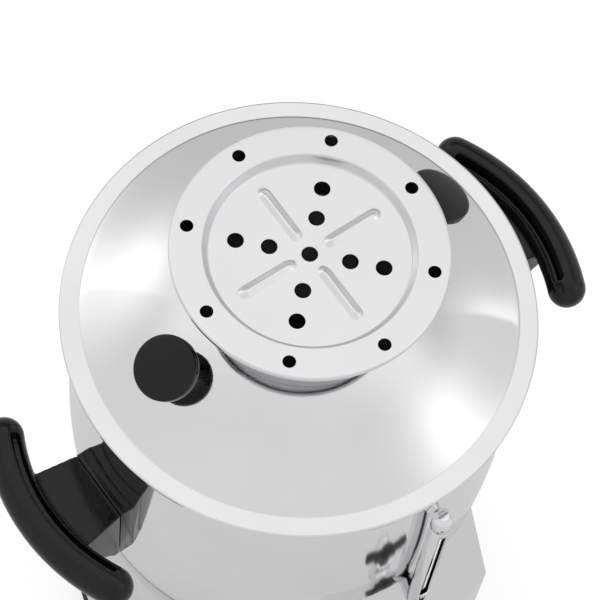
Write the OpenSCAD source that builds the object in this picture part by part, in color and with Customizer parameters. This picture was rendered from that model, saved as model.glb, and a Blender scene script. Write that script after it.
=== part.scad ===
// Electric samovar: a barrel-shaped steel tank with a conical lid, a perforated teapot crown,
// two moulded side handles, a water gauge and a plug tap on a front control housing.
// Millimetres, +Z up, origin on the table under the tank's axis, tap towards -Y, handles on X.

/* [Tank] */
// Height of the lid's rim above the table
rim_h = 420; // [390:1:450]
// Outer radius of the tank at its belly
belly_r = 142.4; // [130:0.1:158]
// How far the mouth is drawn in from the belly
mouth_in = 3.2; // [2:0.1:3.6]
// How far the belly lies below the rim
belly_drop = 110; // [90:1:130]
// Height of the tank's floor above the table
floor_h = 128; // [120:1:134]
// How far the foot is drawn in from the belly
foot_in = 24.4; // [19:0.1:28]
// Thickness of the tank's sheet
tank_wall = 1.5; // [1.2:0.1:2]
// Radius of the rolled bead round the mouth
bead_r = 3; // [2:0.1:3.5]

/* [Base] */
// How far the skirt's waist lies inside the tank's foot
waist_in = 2; // [1:0.5:6]
// How far the skirt flares out from its waist
flare_out = 22; // [14:1:26]
// Thickness of the skirt's sheet
skirt_wall = 1.2; // [1:0.1:2]
// Height of the rubber foot ring
ring_h = 14; // [10:1:18]
// Width of the rubber foot ring
ring_w = 16; // [12:1:18]
// Thickness of the base plate
plate_t = 1.5; // [1:0.1:3]
// How far the base plate's screws lie inside the skirt's lower edge
base_screw_in = 22; // [21:1:25]
// Number of base plate screws
base_screw_count = 4; // [3:1:6]
// Diameter of the base plate's screws
base_screw_d = 4; // [3:0.5:5]
// Diameter of the cord's way through its gland
cord_d = 8; // [6:0.5:9]
// Diameter of the wires' way through the skirt into the front housing
wire_way_d = 20; // [12:1:30]
// Height of that way's middle above the floor
wire_way_h = 60; // [45:1:75]
// Width of the cord's notch in the foot ring
notch_w = 12; // [9:1:16]

/* [Control housing] */
// Width of the housing across the front
housing_w = 124; // [112:1:136]
// How far the housing's upright front stands out from the belly
housing_out = 25.6; // [22:0.1:33]
// How far the hood's upper edge lies below the rim
hood_drop = 157; // [140:1:165]
// Slope of the hood from upright, in degrees
hood_angle = 24; // [20:1:32]
// Thickness of the housing's sheet
housing_wall = 1.2; // [1:0.1:2]
// Height of the dial and the switch above the table
control_h = 90; // [80:1:96]
// Turn of the dial and the switch from the front, in degrees
control_turn = 11; // [10:0.5:12]
// Height of the pilot lamps above the table
lamp_h = 130; // [126:1:136]
// Turn of the pilot lamps from the front, in degrees
lamp_turn = 9; // [8:0.5:12]

/* [Dial and switch] */
// Diameter of the dial's ring
dial_d = 46; // [40:1:50]
// Thickness of the dial's ring
dial_t = 0.8; // [0.5:0.1:1.2]
// Diameter of the dial's knob
dial_knob_d = 34; // [28:1:38]
// Height of the dial's knob
dial_knob_h = 15; // [12:0.5:18]
// Diameter of the thermostat's spindle
spindle_d = 6; // [5:0.5:8]
// Diameter of the thermostat
thermostat_d = 34; // [28:1:38]
// Depth of the thermostat
thermostat_l = 20; // [16:1:24]
// Width of the switch
switch_w = 22; // [20:0.5:24]
// Height of the switch
switch_h = 32; // [31:0.5:36]
// Depth of the switch
switch_l = 18; // [14:1:22]
// Width of the switch's rim
bezel = 2.5; // [1.5:0.5:4]
// Thickness of the switch's rim
bezel_t = 2; // [1.5:0.1:2.2]
// Width of the rocker
rocker_w = 15; // [12:0.5:16]
// Height of the rocker
rocker_h = 24; // [22:0.5:25]
// Tilt of the rocker when it is off, in degrees
rocker_tilt = 10; // [6:1:11]
// Diameter of a pilot lamp
lamp_d = 10; // [8:0.5:12]
// Depth of a pilot lamp
lamp_l = 16; // [12:1:20]

/* [Lid] */
// How far the lid's rim stands out from the belly
rim_out = 5.6; // [4.6:0.1:9]
// Width of the lid's flat flange
flange_w = 12; // [11.5:0.1:13]
// Depth of the lip turned down round the flange
lip_h = 3.5; // [2.5:0.1:5]
// Depth of the step that drops into the tank's mouth
register_h = 4.8; // [3:0.1:8]
// Width of that step
register_w = 1.6; // [1:0.1:2.5]
// Slope of the lid's cone, in degrees
cone_angle = 30; // [26:1:33]
// Thickness of the lid's sheet
lid_wall = 1.2; // [0.8:0.1:1.5]
// Outer radius of the collar where it meets the cone
collar_r = 67.2; // [64:0.1:72]
// Width of the collar's foot on the cone
collar_foot = 5; // [3:0.5:8]

/* [Crown] */
// Outer radius of the crown plate
crown_r = 83.5; // [83:0.5:90]
// Height of the crown plate above the rim
crown_rise = 84; // [78:1:95]
// Radius of the teapot recess at its upper edge
pan_r = 64; // [60:0.5:66]
// Depth of the teapot recess
pan_depth = 7; // [6:0.5:10]
// Width of the recess' sloping wall
pan_slope = 4; // [3:0.5:6]
// Thickness of the crown's sheet
crown_wall = 1.2; // [1:0.1:1.5]
// Depth of the lip turned down round the crown
crown_lip = 3.4; // [2.5:0.1:5]
// Turn of the crown's hole pattern, in degrees
crown_turn = 44; // [0:1:90]
// Diameter of the holes in the crown's flange
flange_hole_d = 8; // [6:0.5:9]
// Radius of the circle of those holes
flange_hole_r = 74; // [73:0.5:75]
// Number of those holes
flange_hole_count = 8; // [6:1:10]
// Diameter of the holes in the recess
pan_hole_d = 10; // [7:0.5:11]
// Radius of the inner ring of recess holes
pan_hole_in = 24.3; // [20:0.1:26]
// Radius of the outer ring of recess holes
pan_hole_out = 44.5; // [40:0.1:48]
// Inner end of the raised ribs
rib_in = 14; // [12:1:18]
// Outer end of the raised ribs
rib_out = 50; // [40:1:52]
// Width of the raised ribs
rib_w = 6.5; // [5:0.5:8]
// Height of the raised ribs
rib_h = 2; // [1.5:0.1:2.5]

/* [Lid knobs] */
// Diameter of a knob
knob_d = 40; // [34:1:44]
// Height of a knob
knob_h = 28; // [24:1:34]
// Radius of a knob's stem
stem_r = 9; // [7:0.5:11]
// Thickness of a knob's edge
knob_edge = 7; // [5:0.5:9]
// Height of a knob's dome
knob_dome = 2; // [1.5:0.1:4]
// Place of a knob between the collar's foot, 0, and the cone's lower edge, 1
knob_share = 0.286; // [0.22:0.002:0.4]
// Diameter of a knob's screw
knob_screw_d = 5; // [4:0.5:6]

/* [Handles] */
// Reach of a grip from the belly
grip_out = 64.6; // [58:0.1:72]
// Thickness of a grip
grip_d = 25.3; // [22:0.1:28]
// Bend radius of a grip's centre line
grip_bend = 132.4; // [120:0.1:150]
// Half of the angle that a grip spans, in degrees
grip_half = 27; // [24:0.5:32]
// How far a grip's centre lies below the rim
grip_drop = 76; // [60:1:90]
// Width of the slot in a grip
slot_w = 5.6; // [3:0.1:7]
// Thickness of the wall inside that slot
slot_lip = 3.4; // [2.5:0.1:5]
// Depth of the slot below a grip's top
slot_depth = 12; // [6:0.5:13]
// Width of an arm at the tank
arm_w = 49; // [40:1:54]
// Width of an arm at the grip
arm_end_w = 62; // [56:1:72]
// Height of an arm at the tank
arm_h = 66; // [56:1:76]
// Thickness of an arm's walls
arm_wall = 4; // [3:0.5:5]
// Thickness of the pad between an arm and the belly
pad_t = 7; // [5:0.5:10]
// Distance between a handle's bolts
bolt_step = 30; // [24:1:34]
// Diameter of a handle's bolts
bolt_d = 6; // [5:0.5:8]

/* [Tap] */
// Height of the tap's shank above the tank's floor
tap_rise = 30; // [27:1:36]
// Diameter of the shank
shank_d = 18; // [16:0.5:20]
// Diameter of the water way
bore_d = 10; // [8:0.5:11]
// Radius of the plug's barrel
barrel_r = 14; // [13:0.5:16]
// Height of the plug's barrel
barrel_h = 40; // [34:1:42]
// Distance of the barrel from the housing
barrel_out = 32; // [30:1:40]
// Diameter of the plug
plug_d = 16; // [15:0.5:18]
// Outer radius of the spout
spout_r = 8; // [7:0.5:9]
// Bend radius of the spout
spout_bend = 14; // [12:1:18]
// Straight length of the spout before its bend
spout_out = 20; // [18:1:28]
// Straight length of the spout below its bend
spout_down = 26; // [16:1:34]
// Length of the tap's lever
lever_l = 54; // [40:1:56]
// Thickness of the tap's lever
lever_t = 8; // [6:0.5:10]

/* [Gauge] */
// Diameter of the gauge glass
glass_d = 8; // [7:0.5:10]
// Thickness of the gauge glass
glass_wall = 1.2; // [1:0.1:1.6]
// Distance of the glass from the belly
glass_out = 8.6; // [8:0.1:11]
// How far the gauge's upper fitting lies below the rim
gauge_drop = 36; // [32:1:50]
// Thickness of the guard round the glass
guard_wall = 1; // [0.8:0.1:1.5]
// Half angle of the guard's window, in degrees
guard_window = 40; // [25:1:60]

/* [Heater] */
// Radius of the heater's ring
heater_r = 75; // [60:1:85]
// Diameter of the heater's tube
heater_d = 8; // [6:0.5:10]
// Height of the ring above the tank's floor
heater_rise = 18; // [14:1:24]
// Angle of the gap in the ring, in degrees
heater_gap = 36; // [32:1:60]
// Diameter of the thermostat's bulb
bulb_d = 7; // [5:0.5:9]
// Length of the thermostat's bulb
bulb_l = 60; // [40:1:80]
// Distance of the bulb from the axis
bulb_y = 40; // [36:1:60]
// Diameter of the thermal cutout
cutout_d = 26; // [20:1:30]
// Height of the thermal cutout
cutout_h = 8; // [6:0.5:12]

/* [Fits] */
// Gap between fixed pieces that rest on each other
seat_gap = 0.05; // [0.02:0.01:0.1]
// Gap between a moving piece and what it rests on
rest_gap = 0.3; // [0.25:0.05:0.5]
// Radial clearance of a turning shaft
run_gap = 0.05; // [0.02:0.01:0.1]
// Radial clearance of a fixed piece in a hole
hole_gap = 0.3; // [0.2:0.05:0.5]
// Clearance between the crown's lip and the lid's collar
crown_gap = 0.9; // [0.5:0.1:1.5]

/* [Hidden] */
$fn = 96;

// Finishes
steel = "silver";
black = [0.1, 0.1, 0.1];
brass = [0.78, 0.66, 0.36];
rubber = [0.2, 0.2, 0.2];
ivory = [0.9, 0.88, 0.82];

// Tank: two arcs that meet upright at the belly
arc_fn = 1440;
belly_z = rim_h - belly_drop;
mouth_z = rim_h - lid_wall - rest_gap;
upper_arc = (belly_drop * belly_drop + mouth_in * mouth_in) / (2 * mouth_in);
lower_rise = belly_z - floor_h;
lower_arc = (lower_rise * lower_rise + foot_in * foot_in) / (2 * foot_in);
function arc_in(arc, rise) = arc - sqrt(arc * arc - rise * rise);
function body_r(z) = belly_r - arc_in(z > belly_z ? upper_arc : lower_arc, z - belly_z);
boss_r = shank_d / 2 + 7;
boss_out = 6;
boss_in = 9;
seam_z = floor_h + tap_rise + boss_r + 6;

// Base
waist_r = belly_r - foot_in - waist_in;
skirt_r = waist_r + flare_out;
base_screw_r = skirt_r - base_screw_in;
skirt_top = floor_h - seat_gap;
skirt_low = ring_h + seat_gap;
flare_rise = skirt_top - skirt_low;
flare_arc = (flare_rise * flare_rise + flare_out * flare_out) / (2 * flare_out);
seat_w = 12;
screw_edge = 5;
screw_head_h = 2.5;
screw_tail = 6;
function skirt_in(z) = waist_r + arc_in(flare_arc, skirt_top - z) - skirt_wall;
plate_edge = 5;
gland_y = base_screw_r - 26;
gland_r = cord_d / 2 + 4;
gland_low = ring_h / 2 - 3;
gland_h = ring_h / 2 + plate_t + 12;

// Control housing
housing_r = belly_r + housing_out;
hood_z = rim_h - hood_drop;
hood_r = body_r(hood_z);
housing_low = ring_h + 2;
function hood_at(z, in) = hood_r - in / cos(hood_angle) + (hood_z - z) * tan(hood_angle);
function hood_break(in) = hood_z - (housing_r - in - hood_r + in / cos(hood_angle)) / tan(hood_angle);
dial_knob_r = dial_knob_d / 2;
spindle_r = spindle_d / 2;
spindle_in = thermostat_l - 6;
thermostat_r = thermostat_d / 2;
thermostat_sag = thermostat_r * thermostat_r / (2 * (housing_r - housing_wall));
thermostat_face = housing_wall + thermostat_sag + seat_gap;
rocker_pivot = 0.5;
rocker_pin_r = 1.5;
rocker_half = rocker_h / 2;
rocker_cave = rocker_half + 2;
rocker_depth = 6;
lamp_r = lamp_d / 2;
lamp_bezel_r = lamp_r + 2;
lamp_rim_t = 1.5;

// Lid
rim_r = belly_r + rim_out;
flange_in = rim_r - flange_w;
cone_r = flange_in - register_w;
cone_low = rim_h - register_h;
cone_drop = lid_wall / cos(cone_angle);
collar_in = collar_r - lid_wall;
function cone_z(r) = cone_low + (cone_r - r) * tan(cone_angle);
crown_z = rim_h + crown_rise;
pan_miter = crown_wall * tan(atan2(pan_depth, pan_slope) / 2);
collar_top = crown_z - crown_wall - rest_gap;
collar_rise = collar_top - cone_z(collar_r);
collar_flare = crown_r - crown_wall - crown_gap - collar_r;
collar_arc = (collar_rise * collar_rise + collar_flare * collar_flare) / (2 * collar_flare);
collar_edge = collar_r + collar_foot;
knob_place = collar_edge + (cone_r - collar_edge) * knob_share;
ferrule_t = 1;
ferrule_r = stem_r + 1.5;
knob_screw_in = 12;
knob_head_r = knob_screw_d;
knob_head_h = 3;
knob_head_gap = 0.6;

// Handles
grip_r = grip_d / 2;
grip_z = rim_h - grip_drop;
bend_x = belly_r + grip_out - grip_r - grip_bend;
arm_top = grip_z - 1;
arm_low = arm_top - arm_h;
arm_x = belly_r + pad_t;
arm_end = bend_x + grip_bend - 4;
arm_tip_low = grip_z - grip_r + 2;
slot_in = grip_bend - grip_r + slot_lip;
slot_half = grip_half - 1;
bolt_z = arm_top - 15;
pad_bands = 12;
function pad_z(k) = arm_low - 1 + (arm_h + 2) * k / pad_bands;
nut_t = 5;
seal_t = 1.5;
head_t = 3.5;
curve_gap = 0.4;
function seal_x(z) = body_r(z) - tank_wall - curve_gap;

// Tap
tap_h = floor_h + tap_rise;
shank_r = shank_d / 2;
bore_r = bore_d / 2;
plug_r = plug_d / 2;
tap_face = housing_r + seat_gap;
tap_flange_t = 4;
tap_flange_r = shank_r + 6;
barrel_y = housing_r + barrel_out;
boss_y = body_r(tap_h);
tap_seal_t = 2;
tap_nut_t = 7;
shank_tail = boss_y - boss_in - tap_seal_t - tap_nut_t - 4;
plug_over = 0.6;
plug_top = tap_h + barrel_h / 2 + plug_over;
plug_low = tap_h - barrel_h / 2 - plug_over;
stem_top_r = 5;
stem_top_h = 10;
tail_r = 4;
tail_h = 10;
washer_t = 1.6;
lever_hub_r = 9;
lever_hub_h = 12;
lever_h = 14;

// Gauge
glass_r = glass_d / 2;
glass_y = belly_r + glass_out;
gauge_top = rim_h - gauge_drop;
sleeve_t = 1;
socket_r = glass_r + sleeve_t + 1.4;
tee_r = shank_r + 4;
tee_top = tap_h + tee_r + 14;
glass_low = tap_h + tee_r + 2;
sleeve_h = 8;
cap_r = socket_r;
cap_h = 16;
cap_low = gauge_top - cap_h / 2;
glass_high = gauge_top;
gauge_stem_r = 4.5;
gauge_nut_t = 5;
guard_r = glass_r + 2.4;

// Heater
heater_z = floor_h + tank_wall + heater_rise;
bulb_r = bulb_d / 2;
leg_low = floor_h - 14;
lead_r = heater_d / 2;
heater_nut_t = 5;
seal_w = 5;

// The tank's outside below its belly as a half section, grown by a distance, between two heights
module bowl_half(grow, low, high) {
    intersection() {
        translate([belly_r - lower_arc, belly_z]) circle(r = lower_arc + grow, $fn = arc_fn);
        translate([0, low]) square([belly_r + grow + 1, high - low]);
    }
}

// The tank's outside as a half section, grown by a distance, between two heights
module body_half(grow, low, high) {
    intersection() {
        translate([belly_r - upper_arc, belly_z]) circle(r = upper_arc + grow, $fn = arc_fn);
        translate([0, belly_z]) square([belly_r + grow + 1, high - belly_z]);
    }
    bowl_half(grow, low, belly_z);
}

// The skirt's outside as a half section, grown by a distance
module skirt_half(grow) {
    difference() {
        translate([0, skirt_low]) square([skirt_r + grow, flare_rise + seat_gap]);
        translate([waist_r + flare_arc, skirt_top]) circle(r = flare_arc - grow, $fn = arc_fn);
    }
}

// Everything inside the tank's and the skirt's outer faces, for cutting what leans on them
module body_envelope() {
    rotate_extrude($fn = 288) body_half(seat_gap, floor_h, mouth_z);
    rotate_extrude($fn = 288) skirt_half(seat_gap);
}

// A cylinder that runs along -Y from one distance to another
module front_bar(r, from, to, fn = 96) {
    translate([0, -from, 0]) rotate([90, 0, 0]) cylinder(r = r, h = to - from, $fn = fn);
}

// A cylinder that runs along +X from one distance to another
module side_bar(r, from, to, fn = 96) {
    translate([from, 0, 0]) rotate([0, 90, 0]) cylinder(r = r, h = to - from, $fn = fn);
}

// Children placed at both sides, with +X as the outward direction
module both_sides() {
    for (turn = [0, 180]) rotate([0, 0, turn]) children();
}

// Children placed at every handle bolt
module at_bolts() {
    both_sides() for (k = [0, 1]) translate([0, 0, bolt_z - k * bolt_step]) children();
}

// Children placed on the housing's front, with local +Z outward and local +Y up
module on_front(turn, height) {
    rotate([0, 0, turn]) translate([0, -housing_r, height]) rotate([90, 0, 0]) children();
}

// Children placed at the two lamps
module at_lamps() {
    for (side = [-1, 1]) on_front(side * lamp_turn, lamp_h) children();
}

// Children placed on the lid's cone, with local +Z along the cone's normal
module on_cone(side) {
    translate([side * knob_place, 0, cone_z(knob_place)]) rotate([0, side * cone_angle, 0]) children();
}

// Children placed at the heater's two legs
module at_legs() {
    for (side = [-1, 1]) rotate([0, 0, -90 + side * heater_gap / 2]) translate([heater_r, 0, 0]) children();
}

// Children placed at the base plate's screws
module at_base_screws() {
    for (k = [0 : base_screw_count - 1]) rotate([0, 0, 45 + k * 360 / base_screw_count])
        translate([base_screw_r, 0, 0]) children();
}

module tank() {
    color(steel) difference() {
        union() {
            rotate_extrude() difference() {
                body_half(0, seam_z, mouth_z - bead_r);
                body_half(-tank_wall, seam_z - 1, rim_h + 1);
            }
            rotate_extrude() translate([body_r(mouth_z) - tank_wall + bead_r, mouth_z - bead_r])
                circle(r = bead_r);
        }
        at_bolts() side_bar(bolt_d / 2 + hole_gap, belly_r - 20, belly_r + 5);
        translate([0, 0, gauge_top]) front_bar(gauge_stem_r + hole_gap, belly_r - 20, belly_r + 5);
    }
}

// The tank's bottom section, welded under the barrel, with the boss that the tap goes through
module tank_bowl() {
    color(steel) difference() {
        union() {
            rotate_extrude() difference() {
                bowl_half(0, floor_h, seam_z - seat_gap);
                bowl_half(-tank_wall, floor_h - 1, seam_z + 1);
            }
            translate([0, 0, tap_h]) front_bar(boss_r, boss_y - boss_in, boss_y + boss_out);
        }
        translate([0, 0, tap_h]) front_bar(shank_r + hole_gap, boss_y - boss_in - 1, boss_y + boss_out + 1);
    }
}

module tank_floor() {
    color(steel) difference() {
        translate([0, 0, floor_h]) cylinder(r = body_r(floor_h) - tank_wall - 2 * seat_gap, h = tank_wall);
        at_legs() translate([0, 0, floor_h - 1]) cylinder(r = lead_r + hole_gap, h = tank_wall + 2);
    }
}

module heating_element() {
    color("dimgray") {
        translate([0, 0, heater_z]) rotate([0, 0, -90 + heater_gap / 2])
            rotate_extrude(angle = 360 - heater_gap) translate([heater_r, 0]) circle(r = lead_r);
        at_legs() translate([0, 0, leg_low]) cylinder(r = lead_r, h = heater_z - leg_low);
        at_legs() translate([0, 0, heater_z]) sphere(r = lead_r);
    }
}

module element_nuts() {
    color(brass) at_legs() difference() {
        translate([0, 0, floor_h - seat_gap - heater_nut_t])
            cylinder(r = lead_r + seal_w, h = heater_nut_t, $fn = 6);
        translate([0, 0, leg_low]) cylinder(r = lead_r + seat_gap, h = heater_z - leg_low);
    }
}

module element_seals() {
    color(rubber) at_legs() difference() {
        translate([0, 0, floor_h + tank_wall + seat_gap]) cylinder(r = lead_r + seal_w, h = seal_t);
        translate([0, 0, leg_low]) cylinder(r = lead_r + seat_gap, h = heater_z - leg_low);
    }
}

module thermal_cutout() {
    color(black) translate([0, 0, floor_h - seat_gap - cutout_h]) {
        cylinder(d = cutout_d, h = cutout_h);
        for (side = [-1, 1]) translate([side * 6 - 1.5, -4, -7]) cube([3, 8, 7 + seat_gap]);
    }
}

module thermostat_bulb() {
    color("peru") translate([-bulb_l / 2, bulb_y, floor_h - seat_gap - bulb_r])
        rotate([0, 90, 0]) cylinder(r = bulb_r, h = bulb_l);
}

module bulb_clip() {
    clip_w = 12;
    clip_t = 1;
    clip_foot = 9;
    clip_in = bulb_r + seat_gap;
    clip_out = clip_in + clip_t;
    color(steel) translate([-clip_w / 2, bulb_y, floor_h - seat_gap]) {
        for (side = [0, 1]) mirror([0, side, 0]) translate([0, clip_in, -clip_t])
            cube([clip_w, clip_foot, clip_t]);
        translate([0, 0, -bulb_r]) difference() {
            union() {
                rotate([0, 90, 0]) cylinder(r = clip_out, h = clip_w);
                translate([0, -clip_out, 0]) cube([clip_w, 2 * clip_out, bulb_r]);
            }
            translate([-1, 0, 0]) rotate([0, 90, 0]) cylinder(r = clip_in, h = clip_w + 2);
            translate([-1, -clip_in, 0]) cube([clip_w + 2, 2 * clip_in, bulb_r + clip_out]);
            translate([-1, -clip_out - 1, bulb_r]) cube([clip_w + 2, 2 * clip_out + 2, clip_out]);
        }
    }
}

module base_skirt() {
    color(steel) difference() {
        rotate_extrude() intersection() {
            translate([waist_r + flare_arc, skirt_top]) difference() {
                circle(r = flare_arc + skirt_wall, $fn = arc_fn);
                circle(r = flare_arc, $fn = arc_fn);
            }
            translate([0, skirt_low]) square([skirt_r + 1, flare_rise]);
        }
        translate([0, 0, wire_way_h]) front_bar(wire_way_d / 2, waist_r - 10, skirt_r + 1);
    }
}

module seat_ring() {
    edge = waist_r - skirt_wall - seat_gap;
    color(steel) translate([0, 0, skirt_top - skirt_wall]) difference() {
        cylinder(r = edge, h = skirt_wall);
        translate([0, 0, -1]) cylinder(r = edge - seat_w, h = skirt_wall + 2);
    }
}

module screw_ring() {
    low = skirt_low + plate_t + seat_gap;
    color(steel) difference() {
        translate([0, 0, low]) cylinder(r = skirt_in(low + skirt_wall) - hole_gap, h = skirt_wall);
        cylinder(r = base_screw_r - screw_edge, h = floor_h);
        at_base_screws() cylinder(r = base_screw_d / 2 + seat_gap, h = floor_h);
    }
}

module base_plate() {
    color(steel) difference() {
        translate([0, 0, skirt_low]) cylinder(r = skirt_r - plate_edge, h = plate_t);
        at_base_screws() cylinder(r = base_screw_d / 2 + hole_gap, h = floor_h);
        translate([0, gland_y, 0]) cylinder(r = gland_r + hole_gap, h = floor_h);
    }
}

module base_screws() {
    color(steel) at_base_screws() {
        translate([0, 0, skirt_low - seat_gap - screw_head_h]) cylinder(r = base_screw_d, h = screw_head_h);
        translate([0, 0, skirt_low - seat_gap - 1])
            cylinder(r = base_screw_d / 2, h = plate_t + skirt_wall + screw_tail);
    }
}

module foot_ring() {
    color(rubber) difference() {
        rotate_extrude() union() {
            translate([skirt_r + 2 - ring_w, 0]) square([ring_w - 3, ring_h]);
            translate([skirt_r + 2 - 4, 3]) square([4, ring_h - 6]);
            for (z = [3, ring_h - 3]) translate([skirt_r + 2 - 3, z]) circle(r = 3);
        }
        translate([-notch_w / 2, skirt_r - ring_w - 5, -1]) cube([notch_w, ring_w + 20, ring_h / 2 + 1]);
    }
}

module cord_gland() {
    color(black) translate([0, gland_y, 0]) difference() {
        union() {
            translate([0, 0, gland_low]) cylinder(r = gland_r, h = gland_h);
            translate([0, 0, skirt_low - seat_gap - 3]) cylinder(r = gland_r + 3, h = 3);
            translate([0, 0, skirt_low + plate_t + seat_gap]) cylinder(r = gland_r + 3.5, h = 5, $fn = 6);
        }
        translate([0, 0, gland_low - 1]) cylinder(d = cord_d, h = gland_h + 2);
    }
}

module terminal_block() {
    block = [44, 20, 17];
    way = 10;
    color(ivory) translate([-block[0] / 2, 20, skirt_low + plate_t + seat_gap]) difference() {
        cube(block);
        for (k = [0 : 3]) translate([way * k + 7, block[1] / 2, 0]) {
            translate([0, 0, block[2] - 8]) cylinder(r = 2.8, h = 9);
            translate([0, block[1] / 2 + 1, block[2] / 2 - 2]) rotate([90, 0, 0]) cylinder(r = 2.4, h = 9);
        }
    }
}

// The housing's block, drawn in from its outer faces by a distance and open downwards when drawn in
module housing_block(in) {
    low = housing_low - (in > 0 ? 1 : 0);
    over = 12;
    intersection() {
        rotate_extrude() polygon([
            [0, low],
            [housing_r - in, low],
            [housing_r - in, hood_break(in)],
            [hood_at(hood_z + over, in), hood_z + over],
            [0, hood_z + over]
        ]);
        translate([-housing_w / 2 + in, -housing_r - 1, 0]) cube([housing_w - 2 * in, housing_r, rim_h]);
    }
}

module control_housing() {
    color(steel) difference() {
        housing_block(0);
        housing_block(housing_wall);
        body_envelope();
        translate([0, 0, tap_h]) front_bar(shank_r + hole_gap, housing_r - 10, housing_r + 10);
        translate([0, -glass_y, tap_h]) cylinder(r = glass_r + hole_gap, h = rim_h - tap_h);
        on_front(-control_turn, control_h) translate([0, 0, -10]) cylinder(r = spindle_r + hole_gap, h = 20);
        on_front(control_turn, control_h)
            translate([-switch_w / 2 - hole_gap, -switch_h / 2 - hole_gap, -10])
                cube([switch_w + 2 * hole_gap, switch_h + 2 * hole_gap, 20]);
        at_lamps() translate([0, 0, -10]) cylinder(r = lamp_r + hole_gap, h = 20);
    }
}

module housing_floor() {
    inset = housing_wall + hole_gap;
    color(steel) difference() {
        intersection() {
            translate([0, 0, housing_low]) cylinder(r = housing_r - inset, h = plate_t);
            translate([-housing_w / 2 + inset, -housing_r, 0])
                cube([housing_w - 2 * inset, housing_r, rim_h]);
        }
        body_envelope();
        cylinder(r = waist_r, h = rim_h);
    }
}

module dial_ring() {
    inner = housing_r + seat_gap;
    color(ivory) difference() {
        intersection() {
            cylinder(r = inner + dial_t, h = floor_h);
            on_front(-control_turn, control_h)
                translate([0, 0, -dial_d / 2]) cylinder(d = dial_d, h = dial_d);
        }
        cylinder(r = inner, h = floor_h + 1);
        on_front(-control_turn, control_h)
            translate([0, 0, -dial_d]) cylinder(r = spindle_r + hole_gap, h = 2 * dial_d);
    }
}

module thermostat_body() {
    color(ivory) on_front(-control_turn, control_h) difference() {
        union() {
            translate([0, 0, -thermostat_face - thermostat_l]) cylinder(r = thermostat_r, h = thermostat_l);
            for (side = [-1, 1]) translate([side * 8 - 1, -3, -thermostat_face - thermostat_l - 7])
                cube([2, 6, 8]);
        }
        translate([0, 0, -thermostat_face - spindle_in])
            cylinder(r = spindle_r + run_gap, h = spindle_in + 1);
    }
}

module thermostat_spindle() {
    color(brass) on_front(-control_turn, control_h)
        translate([0, 0, -thermostat_face - spindle_in + rest_gap])
            cylinder(r = spindle_r, h = thermostat_face + spindle_in + dial_knob_h - 4);
}

module thermostat_knob() {
    base = seat_gap + dial_t + rest_gap + 0.2;
    color(black) on_front(-control_turn, control_h) difference() {
        union() {
            translate([0, 0, base]) cylinder(r = dial_knob_r, h = 4);
            translate([0, 0, base + 4])
                cylinder(r1 = dial_knob_r - 2, r2 = dial_knob_r - 4, h = dial_knob_h - 4);
            translate([-2.5, -dial_knob_r + 3, base + 4]) cube([5, 2 * dial_knob_r - 4, dial_knob_h - 2]);
        }
        translate([0, 0, base - 1]) cylinder(r = spindle_r + seat_gap, h = dial_knob_h - 3);
    }
}

module switch_body() {
    color(black) on_front(control_turn, control_h) difference() {
        union() {
            translate([-switch_w / 2, -switch_h / 2, -switch_l])
                cube([switch_w, switch_h, switch_l + bezel_t]);
            translate([-switch_w / 2 - bezel, -switch_h / 2 - bezel, seat_gap])
                cube([switch_w + 2 * bezel, switch_h + 2 * bezel, bezel_t - seat_gap]);
            for (k = [-1, 1]) translate([-3, k * 8 - 0.5, -switch_l - 8]) cube([6, 1, 9]);
        }
        translate([-rocker_w / 2 - hole_gap, -rocker_cave, rocker_pivot - rocker_depth])
            cube([rocker_w + 2 * hole_gap, 2 * rocker_cave, rocker_depth + bezel_t + 5]);
        translate([-switch_w / 2 + 1, 0, rocker_pivot]) rotate([0, 90, 0])
            cylinder(r = rocker_pin_r + run_gap, h = switch_w - 2);
    }
}

module switch_rocker() {
    color("firebrick") on_front(control_turn, control_h) translate([0, 0, rocker_pivot])
        rotate([rocker_tilt, 0, 0]) {
            translate([-rocker_w / 2, 0, 0]) rotate([90, 0, 90]) linear_extrude(rocker_w)
                polygon([
                    [-rocker_half * 3 / 4, -rocker_depth / 2],
                    [rocker_half * 3 / 4, -rocker_depth / 2],
                    [rocker_half, rocker_depth * 3 / 4],
                    [0, rocker_depth / 2],
                    [-rocker_half, rocker_depth * 3 / 4]
                ]);
            translate([-rocker_w / 2 - 2, 0, 0]) rotate([0, 90, 0])
                cylinder(r = rocker_pin_r, h = rocker_w + 4);
        }
}

module pilot_lamps() {
    color("orangered") at_lamps() {
        translate([0, 0, -lamp_l]) cylinder(r = lamp_r, h = lamp_l + lamp_rim_t);
        translate([0, 0, seat_gap]) cylinder(r = lamp_bezel_r, h = lamp_rim_t);
        translate([0, 0, lamp_rim_t]) intersection() {
            sphere(r = lamp_r);
            cylinder(r = lamp_r, h = lamp_r);
        }
    }
}

// One handle towards +X: a bent round grip with a slot, on a wide arm that is hollow from below
module handle() {
    difference() {
        union() {
            translate([bend_x, 0, grip_z]) {
                rotate([0, 0, -grip_half]) rotate_extrude(angle = 2 * grip_half)
                    translate([grip_bend, 0]) circle(r = grip_r);
                for (side = [-1, 1]) rotate([0, 0, side * grip_half]) translate([grip_bend, 0, 0])
                    rotate([90, 0, 0]) sphere(r = grip_r);
            }
            arm_block(0);
        }
        difference() {
            arm_block(arm_wall);
            translate([bend_x, 0, 0]) rotate([0, 0, -60]) rotate_extrude(angle = 120)
                translate([grip_bend - grip_r, arm_low - 1]) square([2 * grip_r, arm_h + grip_d]);
        }
        translate([bend_x, 0, grip_z + grip_r - slot_depth]) rotate([0, 0, -slot_half])
            rotate_extrude(angle = 2 * slot_half)
                translate([slot_in, 0]) square([slot_w, slot_depth + 1]);
        for (k = [0, 1]) translate([0, 0, bolt_z - k * bolt_step])
            side_bar(bolt_d / 2 + hole_gap, arm_x - 1, arm_x + arm_wall + 1);
    }
}

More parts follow.
